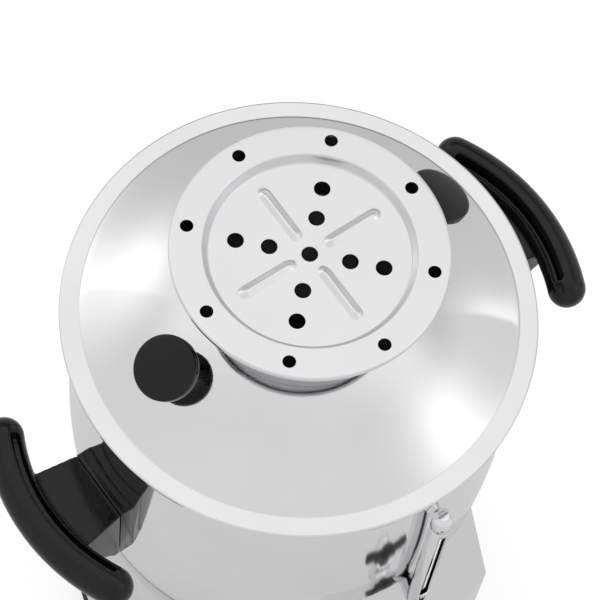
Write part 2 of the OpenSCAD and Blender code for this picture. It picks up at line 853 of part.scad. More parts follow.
// The arm's wedge, drawn in from its walls by a distance and open downwards when drawn in
module arm_block(in) {
    sink = in > 0 ? arm_h / 2 : 0;
    near = arm_x + in + (in > 0 ? 0 : seat_gap);
    intersection() {
        translate([0, 0, arm_low - arm_h]) linear_extrude(2 * arm_h - in) polygon([
            [near, -arm_w / 2 + in],
            [arm_end, -arm_end_w / 2 + in],
            [arm_end, arm_end_w / 2 - in],
            [near, arm_w / 2 - in]
        ]);
        translate([0, arm_end_w, 0]) rotate([90, 0, 0]) linear_extrude(2 * arm_end_w) polygon([
            [arm_x, arm_low - sink],
            [arm_x + arm_wall, arm_low - sink],
            [arm_end, arm_tip_low - sink],
            [arm_end, arm_top],
            [arm_x, arm_top]
        ]);
    }
}

module handle_left() {
    color(black) rotate([0, 0, 180]) handle();
}

module handle_right() {
    color(black) handle();
}

// One pad towards +X: flat under the arm and hollowed to the tank's belly
module handle_pad() {
    difference() {
        translate([belly_r - 20, -arm_w / 2, arm_low]) cube([20 + pad_t, arm_w, arm_h]);
        rotate_extrude($fn = 288) polygon([
            [0, arm_low - 1],
            for (k = [0 : pad_bands]) [body_r(pad_z(k)) + seat_gap, pad_z(k)],
            [0, arm_top + 1]
        ]);
        for (k = [0, 1]) translate([0, 0, bolt_z - k * bolt_step])
            side_bar(bolt_d / 2 + hole_gap, belly_r - 20, arm_x + 1);
    }
}

module handle_pad_left() {
    color(black) rotate([0, 0, 180]) handle_pad();
}

module handle_pad_right() {
    color(black) handle_pad();
}

module handle_bolts() {
    color(steel) both_sides() for (k = [0, 1]) {
        z = bolt_z - k * bolt_step;
        translate([0, 0, z]) {
            side_bar(bolt_d, seal_x(z) - seal_t - seat_gap - head_t, seal_x(z) - seal_t - seat_gap);
            side_bar(bolt_d / 2, seal_x(z) - seal_t - head_t, arm_x + arm_wall + nut_t + 1);
        }
    }
}

module handle_seals() {
    color(rubber) both_sides() for (k = [0, 1]) {
        z = bolt_z - k * bolt_step;
        translate([0, 0, z]) difference() {
            side_bar(bolt_d + 1, seal_x(z) - seal_t, seal_x(z));
            side_bar(bolt_d / 2 + seat_gap, seal_x(z) - seal_t - 1, seal_x(z) + 1);
        }
    }
}

module handle_nuts() {
    nut_x = arm_x + arm_wall + seat_gap;
    color(steel) at_bolts() difference() {
        side_bar(bolt_d * 0.95, nut_x, nut_x + nut_t, 6);
        side_bar(bolt_d / 2 + seat_gap, nut_x - 1, nut_x + nut_t + 1);
    }
}

// The spout's bend and outlet, at a given radius
module spout_run(r) {
    bend_y = barrel_y + spout_out;
    front_bar(r, barrel_y, bend_y);
    translate([0, -bend_y, -spout_bend]) rotate([90, 0, -90]) rotate_extrude(angle = 90)
        translate([spout_bend, 0]) circle(r = r);
    translate([0, -bend_y - spout_bend, -spout_bend - spout_down]) cylinder(r = r, h = spout_down);
}

module tap_body() {
    color(steel) translate([0, 0, tap_h]) difference() {
        union() {
            front_bar(shank_r, shank_tail, tap_face + 1);
            front_bar(tap_flange_r, tap_face, tap_face + tap_flange_t);
            front_bar(shank_r + 1.5, tap_face, barrel_y);
            translate([0, -barrel_y, -barrel_h / 2]) cylinder(r = barrel_r, h = barrel_h);
            spout_run(spout_r);
            translate([0, -barrel_y - spout_out - spout_bend, -spout_bend - spout_down])
                cylinder(r = spout_r + 1.5, h = 5);
        }
        front_bar(bore_r, shank_tail - 1, barrel_y + spout_out);
        translate([0, -barrel_y - spout_out, -spout_bend]) rotate([90, 0, -90]) rotate_extrude(angle = 90)
            translate([spout_bend, 0]) circle(r = bore_r);
        translate([0, -barrel_y - spout_out - spout_bend, -spout_bend - spout_down - 1])
            cylinder(r = bore_r, h = spout_down + 1);
        translate([0, -barrel_y, -barrel_h]) cylinder(r = plug_r + run_gap, h = 2 * barrel_h);
        translate([0, -glass_y, 0]) cylinder(r = bore_r / 2, h = shank_r + 1);
    }
}

module tap_nut() {
    nut_y = boss_y - boss_in - tap_seal_t - 2 * seat_gap;
    color(brass) translate([0, 0, tap_h]) difference() {
        front_bar(boss_r, nut_y - tap_nut_t, nut_y, 6);
        front_bar(shank_r + seat_gap, nut_y - tap_nut_t - 1, nut_y + 1);
    }
}

module tap_seals() {
    color(rubber) translate([0, 0, tap_h])
        for (y = [boss_y - boss_in - tap_seal_t - seat_gap, boss_y + boss_out + seat_gap]) difference() {
            front_bar(boss_r, y, y + tap_seal_t);
            front_bar(shank_r + seat_gap, y - 1, y + tap_seal_t + 1);
        }
}

module gauge_tee() {
    back = boss_y + boss_out + tap_seal_t + 2 * seat_gap;
    front = housing_r - housing_wall - tee_r * tee_r / (2 * (housing_r - housing_wall)) - seat_gap;
    color(brass) translate([0, 0, tap_h]) difference() {
        union() {
            front_bar(tee_r, back, front);
            translate([0, -glass_y, 0]) cylinder(r = socket_r, h = tee_top - tap_h);
        }
        front_bar(shank_r + seat_gap, back - 1, front + 1);
        translate([0, -glass_y, 0]) cylinder(r = bore_r / 2, h = tee_top);
        translate([0, -glass_y, glass_low - tap_h]) cylinder(r = glass_r + sleeve_t + seat_gap, h = tee_top);
    }
}

module gauge_glass() {
    color([0.8, 0.9, 0.95, 0.5]) translate([0, -glass_y, 0]) difference() {
        translate([0, 0, glass_low + seat_gap])
            cylinder(r = glass_r, h = glass_high - glass_low - 2 * seat_gap);
        cylinder(r = glass_r - glass_wall, h = rim_h);
    }
}

module gauge_seals() {
    color(rubber) translate([0, -glass_y, 0]) for (z = [tee_top - sleeve_h, cap_low]) difference() {
        translate([0, 0, z]) cylinder(r = glass_r + sleeve_t, h = sleeve_h);
        translate([0, 0, z - 1]) cylinder(r = glass_r + seat_gap, h = sleeve_h + 2);
    }
}

module gauge_top_fitting() {
    stem_in = body_r(gauge_top) - tank_wall - seal_t - gauge_nut_t - 3;
    color(steel) difference() {
        union() {
            translate([0, -glass_y, cap_low]) cylinder(r = cap_r, h = cap_h - 3);
            translate([0, -glass_y, cap_low + cap_h - 3]) cylinder(r1 = cap_r, r2 = cap_r - 3, h = 3);
            translate([0, 0, gauge_top]) front_bar(gauge_stem_r, stem_in, glass_y);
        }
        translate([0, -glass_y, cap_low - 1]) cylinder(r = glass_r + sleeve_t + seat_gap, h = sleeve_h + 2);
        translate([0, -glass_y, cap_low - 1]) cylinder(r = glass_r + seat_gap, h = glass_high - cap_low + 1);
        translate([0, 0, gauge_top]) front_bar(gauge_stem_r / 2, stem_in - 1, glass_y);
    }
}

module gauge_top_nut() {
    face = seal_x(gauge_top);
    color(brass) translate([0, 0, gauge_top]) difference() {
        front_bar(gauge_stem_r + 4, face - gauge_nut_t, face, 6);
        front_bar(gauge_stem_r + seat_gap, face - gauge_nut_t - 1, face + 1);
    }
}

module gauge_guard() {
    window = 30;
    color(steel) difference() {
        translate([0, -glass_y, tap_h]) cylinder(r = guard_r, h = cap_low - seat_gap - tap_h);
        translate([0, -glass_y, tap_h - 1]) cylinder(r = guard_r - guard_wall, h = rim_h);
        translate([0, -glass_y, hood_z]) linear_extrude(rim_h - hood_z - gauge_drop - cap_h)
            polygon([[0, 0], [-window * tan(guard_window), -window], [window * tan(guard_window), -window]]);
        rotate_extrude() polygon([
            [0, 0],
            [hood_at(0, -seat_gap), 0],
            [hood_at(hood_z, -seat_gap), hood_z],
            [0, hood_z]
        ]);
        body_envelope();
    }
}

module tap_plug() {
    color(brass) translate([0, -barrel_y, 0]) difference() {
        union() {
            translate([0, 0, plug_low]) cylinder(r = plug_r, h = plug_top - plug_low);
            translate([0, 0, plug_top - 1]) cylinder(r = stem_top_r, h = stem_top_h + 1);
            translate([0, 0, plug_low - tail_h]) cylinder(r = tail_r, h = tail_h + 1);
        }
        translate([-plug_r - 1, 0, tap_h]) rotate([0, 90, 0]) cylinder(r = bore_r, h = 2 * plug_r + 2);
    }
}

module tap_lever() {
    color(black) translate([0, -barrel_y, plug_top + seat_gap]) difference() {
        union() {
            cylinder(r = lever_hub_r, h = lever_hub_h);
            translate([-lever_l / 2 + lever_h / 2, lever_t / 2, lever_hub_h - lever_h / 4])
                rotate([90, 0, 0]) linear_extrude(lever_t) {
                    circle(d = lever_h);
                    translate([lever_l - lever_h, 0]) circle(d = lever_h);
                    translate([0, -lever_h / 3]) square([lever_l - lever_h, lever_h * 2 / 3]);
                }
        }
        translate([0, 0, -lever_h]) cylinder(r = lever_l, h = lever_h);
        translate([0, 0, -1]) cylinder(r = stem_top_r + seat_gap, h = stem_top_h + 1 + seat_gap);
    }
}

module tap_washer() {
    color(steel) translate([0, -barrel_y, plug_low - seat_gap - washer_t]) difference() {
        cylinder(r = plug_r + 1.5, h = washer_t);
        translate([0, 0, -1]) cylinder(r = tail_r + seat_gap, h = washer_t + 2);
    }
}

module tap_plug_nut() {
    nut_h = 5;
    color(brass) translate([0, -barrel_y, plug_low - 2 * seat_gap - washer_t - nut_h]) difference() {
        cylinder(r = plug_r, h = nut_h, $fn = 6);
        translate([0, 0, -1]) cylinder(r = tail_r + seat_gap, h = nut_h + 2);
    }
}

module lid_shell() {
    hole_r = knob_screw_d / 2 + hole_gap;
    color(steel) difference() {
        rotate_extrude() union() {
            polygon([
                [rim_r - lid_wall, rim_h],
                [flange_in, rim_h],
                [cone_r, cone_low],
                [collar_in, cone_z(collar_in)],
                [collar_in, cone_z(collar_in) - cone_drop],
                [cone_r, cone_low - cone_drop],
                [cone_r + lid_wall, cone_low - cone_drop],
                [flange_in + lid_wall, rim_h - lid_wall],
                [rim_r - lid_wall, rim_h - lid_wall]
            ]);
            translate([rim_r - lid_wall, rim_h - lid_wall]) intersection() {
                circle(r = lid_wall);
                square(lid_wall);
            }
            translate([rim_r - lid_wall, rim_h - lip_h]) square([lid_wall, lip_h - lid_wall]);
        }
        for (side = [-1, 1]) on_cone(side) translate([0, 0, -10]) cylinder(r = hole_r, h = 20);
    }
}

module lid_collar() {
    foot_z = cone_z(collar_r) + seat_gap;
    fall = collar_foot * tan(cone_angle);
    rise = lid_wall * tan(cone_angle);
    color(steel) rotate_extrude() union() {
        intersection() {
            translate([collar_r + collar_arc, cone_z(collar_r)]) difference() {
                circle(r = collar_arc + lid_wall, $fn = arc_fn);
                circle(r = collar_arc, $fn = arc_fn);
            }
            translate([0, foot_z + rise]) square([crown_r, collar_top - foot_z - rise]);
        }
        polygon([
            [collar_in, foot_z + rise],
            [collar_r, foot_z],
            [collar_edge, foot_z - fall],
            [collar_edge, foot_z - fall + cone_drop],
            [collar_r, foot_z + cone_drop]
        ]);
    }
}

// One knob on its own axis, with its foot at the origin
module knob() {
    knob_r = knob_d / 2;
    edge_r = knob_edge / 2;
    dome_r = (knob_r * knob_r + knob_dome * knob_dome) / (2 * knob_dome);
    difference() {
        rotate_extrude() intersection() {
            union() {
                polygon([
                    [0, 0],
                    [stem_r, 0],
                    [stem_r - 1, knob_h / 3],
                    [knob_r - edge_r, knob_h - knob_dome - knob_edge],
                    [knob_r - edge_r, knob_h],
                    [0, knob_h]
                ]);
                translate([knob_r - edge_r, knob_h - knob_dome - edge_r]) circle(r = edge_r);
            }
            translate([0, knob_h - dome_r]) circle(r = dome_r, $fn = 360);
            square([knob_r + 1, knob_h + 1]);
        }
        translate([0, 0, -1]) cylinder(r = knob_screw_d / 2 + seat_gap, h = knob_screw_in + 2);
    }
}

module lid_knob_left() {
    color(black) on_cone(-1) translate([0, 0, ferrule_t + 2 * seat_gap]) knob();
}

module lid_knob_right() {
    color(black) on_cone(1) translate([0, 0, ferrule_t + 2 * seat_gap]) knob();
}

module knob_ferrules() {
    color(steel) for (side = [-1, 1]) on_cone(side) translate([0, 0, seat_gap]) difference() {
        cylinder(r = ferrule_r, h = ferrule_t);
        translate([0, 0, -1]) cylinder(r = knob_screw_d / 2 + hole_gap, h = ferrule_t + 2);
    }
}

module knob_screws() {
    under = lid_wall + knob_head_gap;
    color(steel) for (side = [-1, 1]) on_cone(side) {
        translate([0, 0, -under - knob_head_h]) cylinder(r = knob_head_r, h = knob_head_h);
        translate([0, 0, -under - 1]) cylinder(r = knob_screw_d / 2, h = under + ferrule_t + knob_screw_in);
    }
}

// One raised rib along +X, as a round bar with ball ends
module rib_bar(r, sink) {
    translate([rib_in, 0, -sink]) {
        rotate([0, 90, 0]) cylinder(r = r, h = rib_out - rib_in);
        sphere(r = r);
        translate([rib_out - rib_in, 0, 0]) sphere(r = r);
    }
}

module crown_plate() {
    rib_r = (rib_w * rib_w / 4 + rib_h * rib_h) / (2 * rib_h);
    rib_sink = rib_r - rib_h;
    pan_z = crown_z - pan_depth;
    color(steel) rotate([0, 0, crown_turn]) difference() {
        union() {
            rotate_extrude() polygon([
                [0, pan_z],
                [pan_r - pan_slope, pan_z],
                [pan_r, crown_z],
                [crown_r - crown_wall, crown_z],
                [crown_r - crown_wall, crown_z - crown_wall],
                [pan_r + pan_miter, crown_z - crown_wall],
                [pan_r - pan_slope + pan_miter, pan_z - crown_wall],
                [0, pan_z - crown_wall]
            ]);
            rotate_extrude() translate([crown_r - crown_wall, crown_z - crown_wall]) intersection() {
                circle(r = crown_wall);
                square(crown_wall);
            }
            rotate_extrude() translate([crown_r - crown_wall, crown_z - crown_lip])
                square([crown_wall, crown_lip - crown_wall]);
            intersection() {
                translate([0, 0, pan_z]) for (k = [0 : 3]) rotate([0, 0, 45 + 90 * k])
                    rib_bar(rib_r, rib_sink);
                translate([0, 0, pan_z - crown_wall / 2]) cylinder(r = pan_r, h = pan_depth);
            }
        }
        for (k = [0 : flange_hole_count - 1]) rotate([0, 0, k * 360 / flange_hole_count])
            translate([flange_hole_r, 0, crown_z - 5]) cylinder(d = flange_hole_d, h = 10);
        translate([0, 0, pan_z - 5]) cylinder(d = pan_hole_d, h = 10);
        for (k = [0 : 3], r = [pan_hole_in, pan_hole_out]) rotate([0, 0, 90 * k])
            translate([r, 0, pan_z - 5]) cylinder(d = pan_hole_d, h = 10);
    }
}

tank();
tank_bowl();
tank_floor();
heating_element();
element_nuts();
element_seals();
thermal_cutout();
thermostat_bulb();
bulb_clip();
base_skirt();
seat_ring();
screw_ring();
base_plate();
base_screws();
foot_ring();
cord_gland();
terminal_block();
control_housing();
housing_floor();
dial_ring();
thermostat_body();
switch_body();
pilot_lamps();
handle_left();
handle_right();
handle_pad_left();
handle_pad_right();
handle_bolts();
handle_seals();
handle_nuts();
tap_body();
tap_nut();
tap_seals();
gauge_tee();
gauge_glass();
gauge_seals();
gauge_top_fitting();
gauge_top_nut();
gauge_guard();
tap_plug();
tap_lever();
tap_washer();
tap_plug_nut();
thermostat_spindle();
thermostat_knob();
switch_rocker();
lid_shell();
lid_collar();
lid_knob_left();
lid_knob_right();
knob_ferrules();
knob_screws();
crown_plate();
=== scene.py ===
"""Dresses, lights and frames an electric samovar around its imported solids."""
import logging
import math
from dataclasses import dataclass, field
from enum import Enum
from typing import Optional, Sequence, Union

import bmesh
import bpy
from mathutils import Matrix, Vector


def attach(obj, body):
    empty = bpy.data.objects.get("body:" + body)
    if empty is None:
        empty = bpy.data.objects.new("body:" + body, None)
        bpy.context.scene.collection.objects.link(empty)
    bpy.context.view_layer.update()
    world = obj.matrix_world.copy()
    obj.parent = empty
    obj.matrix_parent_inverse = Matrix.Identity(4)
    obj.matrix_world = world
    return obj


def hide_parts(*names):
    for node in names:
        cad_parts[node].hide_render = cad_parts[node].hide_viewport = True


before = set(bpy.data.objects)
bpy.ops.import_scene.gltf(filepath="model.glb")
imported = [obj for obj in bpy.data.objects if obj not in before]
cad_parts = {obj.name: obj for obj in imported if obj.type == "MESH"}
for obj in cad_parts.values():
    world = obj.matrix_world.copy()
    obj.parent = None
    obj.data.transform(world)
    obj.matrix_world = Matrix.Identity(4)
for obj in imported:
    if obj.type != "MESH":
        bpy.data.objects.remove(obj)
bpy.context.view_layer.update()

LOG = logging.getLogger("samovar")
MM = 0.001
Point = tuple[float, float]
Corner = tuple[float, float, float]
Socket = bpy.types.NodeSocket
Value = Union[Socket, float]

# the part of a noise's range that its values fill
NOISE_LOW, NOISE_HIGH = 0.3, 0.7
# how far brush marks are drawn out: up and down, round the axis, and through a flat plate
DRAWN_UP, DRAWN_ROUND, DRAWN_THROUGH = 0.02, 0.004, 0.1
BUMP_DEPTH = 0.0004

FORWARD = Matrix.Rotation(math.radians(90), 4, "X")
SIDEWAYS = Matrix.Rotation(math.radians(90), 4, "Y")
SIDES = (-1, 1)


class Body(Enum):
    """The bodies that pieces ride on."""

    STAND = "stand"
    TAP_KEY = "tap_key"
    DIAL = "dial"
    ROCKER = "rocker"
    LID = "lid"
    CROWN = "crown"


class Brush(Enum):
    """The way in which a metal's polishing marks run."""

    ROUND = "round the upright axis"
    FLAT = "round and round on a flat plate"
    UPRIGHT = "up and down"
    NONE = "no direction"


class NodeMaker:
    """Adds nodes to a tree and links them in one call."""

    def __init__(self, tree: bpy.types.NodeTree) -> None:
        """Keeps the tree that the nodes go into."""
        self.tree = tree

    def add(self, kind: str, inputs: Optional[dict] = None, **props: object) -> bpy.types.Node:
        """Adds one node.

        Args:
            kind: the node's type name.
            inputs: input name or number to a value or to another node's output.
            props: properties set on the node before its inputs.

        Returns:
            The new node.
        """
        node = self.tree.nodes.new(kind)
        for key, value in props.items():
            setattr(node, key, value)
        for key, value in (inputs or {}).items():
            if isinstance(value, Socket):
                self.tree.links.new(value, node.inputs[key])
            else:
                node.inputs[key].default_value = value
        return node

    def math(self, operation: str, first: Value, second: Value = 0.0) -> Socket:
        """Adds a Math node and returns its output."""
        return self.add("ShaderNodeMath", {0: first, 1: second}, operation=operation).outputs[0]

    def spread(self, value: Socket, low: float, high: float) -> Socket:
        """Maps a noise value to a range and returns the output."""
        inputs = {"Value": value, "From Min": NOISE_LOW, "From Max": NOISE_HIGH, "To Min": low,
                  "To Max": high}
        return self.add("ShaderNodeMapRange", inputs).outputs[0]

    def ramp(self, value: Socket, start: float, end: float, low: float, high: float) -> Socket:
        """Adds a smooth step from one value to another between two places and returns the output."""
        inputs = {"Value": value, "From Min": start, "From Max": end, "To Min": low, "To Max": high}
        return self.add("ShaderNodeMapRange", inputs, interpolation_type="SMOOTHSTEP").outputs[0]

    def bell(self, value: Socket, middle: float, width: float) -> Socket:
        """Adds a soft bell round a middle angle, both in degrees, and returns the output."""
        away = self.math("SUBTRACT", value, math.radians(middle))
        off = self.math("DIVIDE", away, math.radians(width))
        return self.math("EXPONENT", self.math("MULTIPLY", self.math("MULTIPLY", off, off), -1.0))


@dataclass(frozen=True)
class SoftBox:
    """A soft glow on the room's wall, seen only in reflections and as fill light.

    Angles are in degrees: turn counts from straight ahead of the camera to its right, and rise counts up.
    A gain below zero makes a dark flag. Where before and after differ, the glow has a crisp line at its edge.
    """

    turn: float
    width: float
    rise: float
    depth: float
    gain: float
    edge: float = 0.0
    before: float = 1.0
    after: float = 1.0
    blur: float = 0.6

    def glow(self, make: NodeMaker, turn: Socket, rise: Socket) -> Socket:
        """Adds the glow, with its crisp line if it has one.

        Args:
            make: the maker for the world's nodes.
            turn: the direction's turn, in radians.
            rise: the direction's rise, in radians.

        Returns:
            The glow's strength.
        """
        across, upright = make.bell(turn, self.turn, self.width), make.bell(rise, self.rise, self.depth)
        light = make.math("MULTIPLY", make.math("MULTIPLY", across, upright), self.gain)
        if self.before == self.after:
            return light
        start, end = math.radians(self.edge - self.blur), math.radians(self.edge + self.blur)
        return make.math("MULTIPLY", light, make.ramp(turn, start, end, self.before, self.after))


@dataclass(frozen=True)
class Finish:
    """A surface finish that becomes one node material.

    The colour and roughness wander between two values with a soft noise, and a fine noise gives the bump.
    """

    name: str
    slot: str
    dark: tuple[float, float, float]
    pale: tuple[float, float, float]
    smooth: float
    rough: float
    metallic: float = 0.0
    patch_scale: float = 18.0
    grain_scale: float = 900.0
    bump: float = 0.05
    brush: Brush = Brush.NONE
    transmission: float = 0.0
    coat: float = 0.0
    ior: float = 1.5
    shine: float = 0.5

    def grain_place(self, make: NodeMaker, place: Socket) -> Socket:
        """Bends the texture's place so that its grain runs along the brush marks.

        Args:
            make: the maker for this material's nodes.
            place: the Object coordinates.

        Returns:
            The place that the grain's noise reads.
        """
        if self.brush is Brush.NONE:
            return place
        parts = make.add("ShaderNodeSeparateXYZ", {0: place}).outputs
        if self.brush is Brush.UPRIGHT:
            drawn = make.math("MULTIPLY", parts[2], DRAWN_UP)
            return make.add("ShaderNodeCombineXYZ", {0: parts[0], 1: parts[1], 2: drawn}).outputs[0]
        squares = [make.math("POWER", part, 2.0) for part in (parts[0], parts[1])]
        out = make.math("SQRT", make.math("ADD", *squares))
        turn = make.math("MULTIPLY", make.math("ARCTAN2", parts[1], parts[0]), DRAWN_ROUND)
        rise = parts[2]
        if self.brush is Brush.FLAT:
            rise = make.math("MULTIPLY", parts[2], DRAWN_THROUGH)
        return make.add("ShaderNodeCombineXYZ", {0: out, 1: rise, 2: turn}).outputs[0]

    def material(self) -> bpy.types.Material:
        """Builds the material, or returns it if it is there already."""
        if self.name in bpy.data.materials:
            return bpy.data.materials[self.name]
        made = bpy.data.materials.new(self.name)
        made.use_nodes = True
        tree = made.node_tree
        make = NodeMaker(tree)
        shader = tree.nodes["Principled BSDF"]
        place = make.add("ShaderNodeTexCoord").outputs["Object"]
        patch = make.add("ShaderNodeTexNoise",
                         {"Vector": place, "Scale": self.patch_scale, "Detail": 3.0}).outputs[0]
        grain_at = self.grain_place(make, place)
        grain = make.add("ShaderNodeTexNoise",
                         {"Vector": grain_at, "Scale": self.grain_scale, "Detail": 2.0}).outputs[0]
        tree.links.new(self.tint(make, patch), shader.inputs["Base Color"])
        tree.links.new(make.spread(patch, self.smooth, self.rough), shader.inputs["Roughness"])
        bump = make.add("ShaderNodeBump", {"Strength": self.bump, "Distance": BUMP_DEPTH, "Height": grain})
        tree.links.new(bump.outputs[0], shader.inputs["Normal"])
        shader.inputs["Metallic"].default_value = self.metallic
        shader.inputs["IOR"].default_value = self.ior
        shader.inputs["Transmission Weight"].default_value = self.transmission
        shader.inputs["Coat Weight"].default_value = self.coat
        shader.inputs["Specular IOR Level"].default_value = self.shine
        return made

    def tint(self, make: NodeMaker, value: Socket) -> Socket:
        """Wanders between the dark and the pale colour and returns the output."""
        ramp = make.add("ShaderNodeValToRGB", {0: value})
        ends = ramp.color_ramp.elements
        ends[0].position, ends[0].color = NOISE_LOW, (*self.dark, 1.0)
        ends[1].position, ends[1].color = NOISE_HIGH, (*self.pale, 1.0)
        return ramp.outputs[0]


POLISHED = Finish("polished_spun_steel", "polished_steel", (0.76, 0.76, 0.77), (0.82, 0.82, 0.83),
                  0.055, 0.09, 1.0, 9.0, 1400.0, 0.012, Brush.ROUND)
PRESSED = Finish("pressed_satin_steel", "polished_steel", (0.78, 0.78, 0.79), (0.84, 0.84, 0.85),
                 0.22, 0.3, 1.0, 14.0, 1600.0, 0.03, Brush.FLAT)
# Darker base colour is painted shade for the collar that sits under the crown plate; its higher roughness is
# a duller sheet surface.
SHADED_SHEET = Finish("mill_sheet_steel", "polished_steel", (0.36, 0.36, 0.37), (0.46, 0.46, 0.47),
               0.16, 0.26, 1.0, 12.0, 1400.0, 0.03, Brush.ROUND)
UPRIGHT = Finish("polished_sheet_steel", "polished_steel", (0.75, 0.75, 0.76), (0.82, 0.82, 0.83),
                 0.09, 0.15, 1.0, 10.0, 1200.0, 0.03, Brush.UPRIGHT)
CAST = Finish("chromed_casting", "polished_steel", (0.78, 0.78, 0.79), (0.84, 0.84, 0.85),
              0.06, 0.13, 1.0, 30.0, 500.0, 0.03)
SATIN = Finish("satin_steel_grain", "satin_steel", (0.52, 0.52, 0.53), (0.64, 0.64, 0.65),
               0.26, 0.38, 1.0, 24.0, 1500.0, 0.08)
BAKELITE = Finish("black_bakelite_gloss", "black_bakelite", (0.0025, 0.0025, 0.0025), (0.006, 0.006, 0.0065),
                  0.09, 0.16, 0.0, 40.0, 700.0, 0.025, shine=0.33)
BRASS = Finish("machined_brass", "brass", (0.60, 0.45, 0.18), (0.76, 0.61, 0.30),
               0.2, 0.34, 1.0, 30.0, 1300.0, 0.06)
COPPER = Finish("drawn_copper", "copper", (0.62, 0.30, 0.18), (0.76, 0.43, 0.29),
                0.22, 0.36, 1.0, 30.0, 1000.0, 0.06)
RUBBER = Finish("black_rubber", "rubber", (0.018, 0.018, 0.018), (0.036, 0.036, 0.036),
                0.62, 0.82, 0.0, 35.0, 1800.0, 0.25)
GLASS = Finish("clear_gauge_glass", "gauge_glass", (0.94, 0.97, 0.97), (0.98, 0.99, 0.99),
               0.01, 0.03, 0.0, 20.0, 200.0, 0.01, transmission=1.0, ior=1.47)
IVORY = Finish("ivory_moulding", "ivory_plastic", (0.74, 0.71, 0.62), (0.84, 0.81, 0.73),
               0.38, 0.52, 0.0, 30.0, 1500.0, 0.08)
LENS = Finish("red_lens", "red_lens", (0.42, 0.02, 0.012), (0.62, 0.045, 0.025),
              0.08, 0.16, 0.0, 60.0, 900.0, 0.03, coat=0.3)
INK = Finish("dial_ink", "black_bakelite", (0.012, 0.012, 0.012), (0.03, 0.03, 0.03),
             0.45, 0.6, 0.0, 60.0, 1500.0, 0.05)

FINISHED: dict[Finish, tuple[str, ...]] = {
    POLISHED: ("tank", "tank_bowl", "lid_shell", "base_skirt"),
    SHADED_SHEET: ("lid_collar",),
    PRESSED: ("crown_plate",),
    UPRIGHT: ("control_housing", "gauge_guard"),
    CAST: ("tap_body", "gauge_top_fitting"),
    SATIN: ("heating_element", "tank_floor", "seat_ring", "screw_ring", "bulb_clip", "base_plate",
            "base_screws", "housing_floor", "handle_bolts", "handle_nuts", "tap_washer", "knob_ferrules",
            "knob_screws"),
    BRASS: ("element_nuts", "tap_nut", "gauge_tee", "gauge_top_nut", "tap_plug", "tap_plug_nut",
            "thermostat_spindle"),
    COPPER: ("thermostat_bulb",),
    RUBBER: ("foot_ring", "element_seals", "handle_seals", "tap_seals", "gauge_seals"),
    GLASS: ("gauge_glass",),
    IVORY: ("terminal_block", "dial_ring", "thermostat_body"),
    LENS: ("switch_rocker", "pilot_lamps"),
}
NODE_FINISH = {node: finish for finish, nodes in FINISHED.items() for node in nodes}


def new_object(name: str, mesh: bpy.types.Mesh) -> bpy.types.Object:
    """Links a mesh into the scene as an object at the origin and returns it."""
    made = bpy.data.objects.new(name, mesh)
    bpy.context.scene.collection.objects.link(made)
    return made


def shade(piece: bpy.types.Object, degrees: float) -> None:
    """Smooths a piece and keeps the edges that are sharper than an angle."""
    piece.data.shade_smooth()
    piece.data.set_sharp_from_angle(angle=math.radians(degrees))


def baked(piece: bpy.types.Object) -> bpy.types.Object:
    """Turns a piece with live modifiers into a plain mesh.

    Args:
        piece: the piece with its modifiers.

    Returns:
        The same piece, with the result as its mesh and no modifiers.
    """
    view = bpy.context.evaluated_depsgraph_get()
    view.update()
    mesh = bpy.data.meshes.new_from_object(piece.evaluated_get(view))
    mesh.name = piece.name
    piece.modifiers.clear()
    piece.data = mesh
    return piece


def settle(piece: bpy.types.Object, finish: Finish, body: Body, *nodes: str) -> bpy.types.Object:
    """Gives a piece its finish, its body and the CAD nodes that it stands for.

    Args:
        piece: the finished piece.
        finish: its surface.
        body: the body that it rides on.
        nodes: the CAD nodes that it replaces, if any.

    Returns:
        The same piece.
    """
    piece.data.materials.clear()
    piece.data.materials.append(finish.material())
    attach(piece, body.value)
    if nodes:
        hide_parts(*nodes)
    LOG.info("%s rides on %s, %d faces", piece.name, body.value, len(piece.data.polygons))
    return piece


def filleted(points: Sequence[Corner]) -> list[Point]:
    """Rounds the corners of a closed outline.

    Args:
        points: radius, height and corner radius of each point.

    Returns:
        The points of the rounded outline.
    """
    steps = 4
    out: list[Point] = []
    count = len(points)
    for k, (x, y, r) in enumerate(points):
        here = Vector((x, y))
        if r <= 0:
            out.append((x, y))
            continue
        back = (Vector(points[k - 1][:2]) - here).normalized()
        ahead = (Vector(points[(k + 1) % count][:2]) - here).normalized()
        half = back.angle(ahead) / 2
        reach = r / math.tan(half)
        start, end = here + back * reach, here + ahead * reach
        centre = here + (back + ahead).normalized() * (r / math.sin(half))
        first = start - centre
        sweep = first.angle_signed(end - centre)
        for i in range(steps + 1):
            a = -sweep * i / steps
            c, s = math.cos(a), math.sin(a)
            out.append((centre.x + first.x * c - first.y * s, centre.y + first.x * s + first.y * c))
    return out


def plain_mesh(name: str, mesh: bmesh.types.BMesh) -> bpy.types.Object:
    """Turns a finished bmesh into a named object at the origin, frees it and returns the object."""
    data = bpy.data.meshes.new(name)
    mesh.to_mesh(data)
    mesh.free()
    return new_object(name, data)


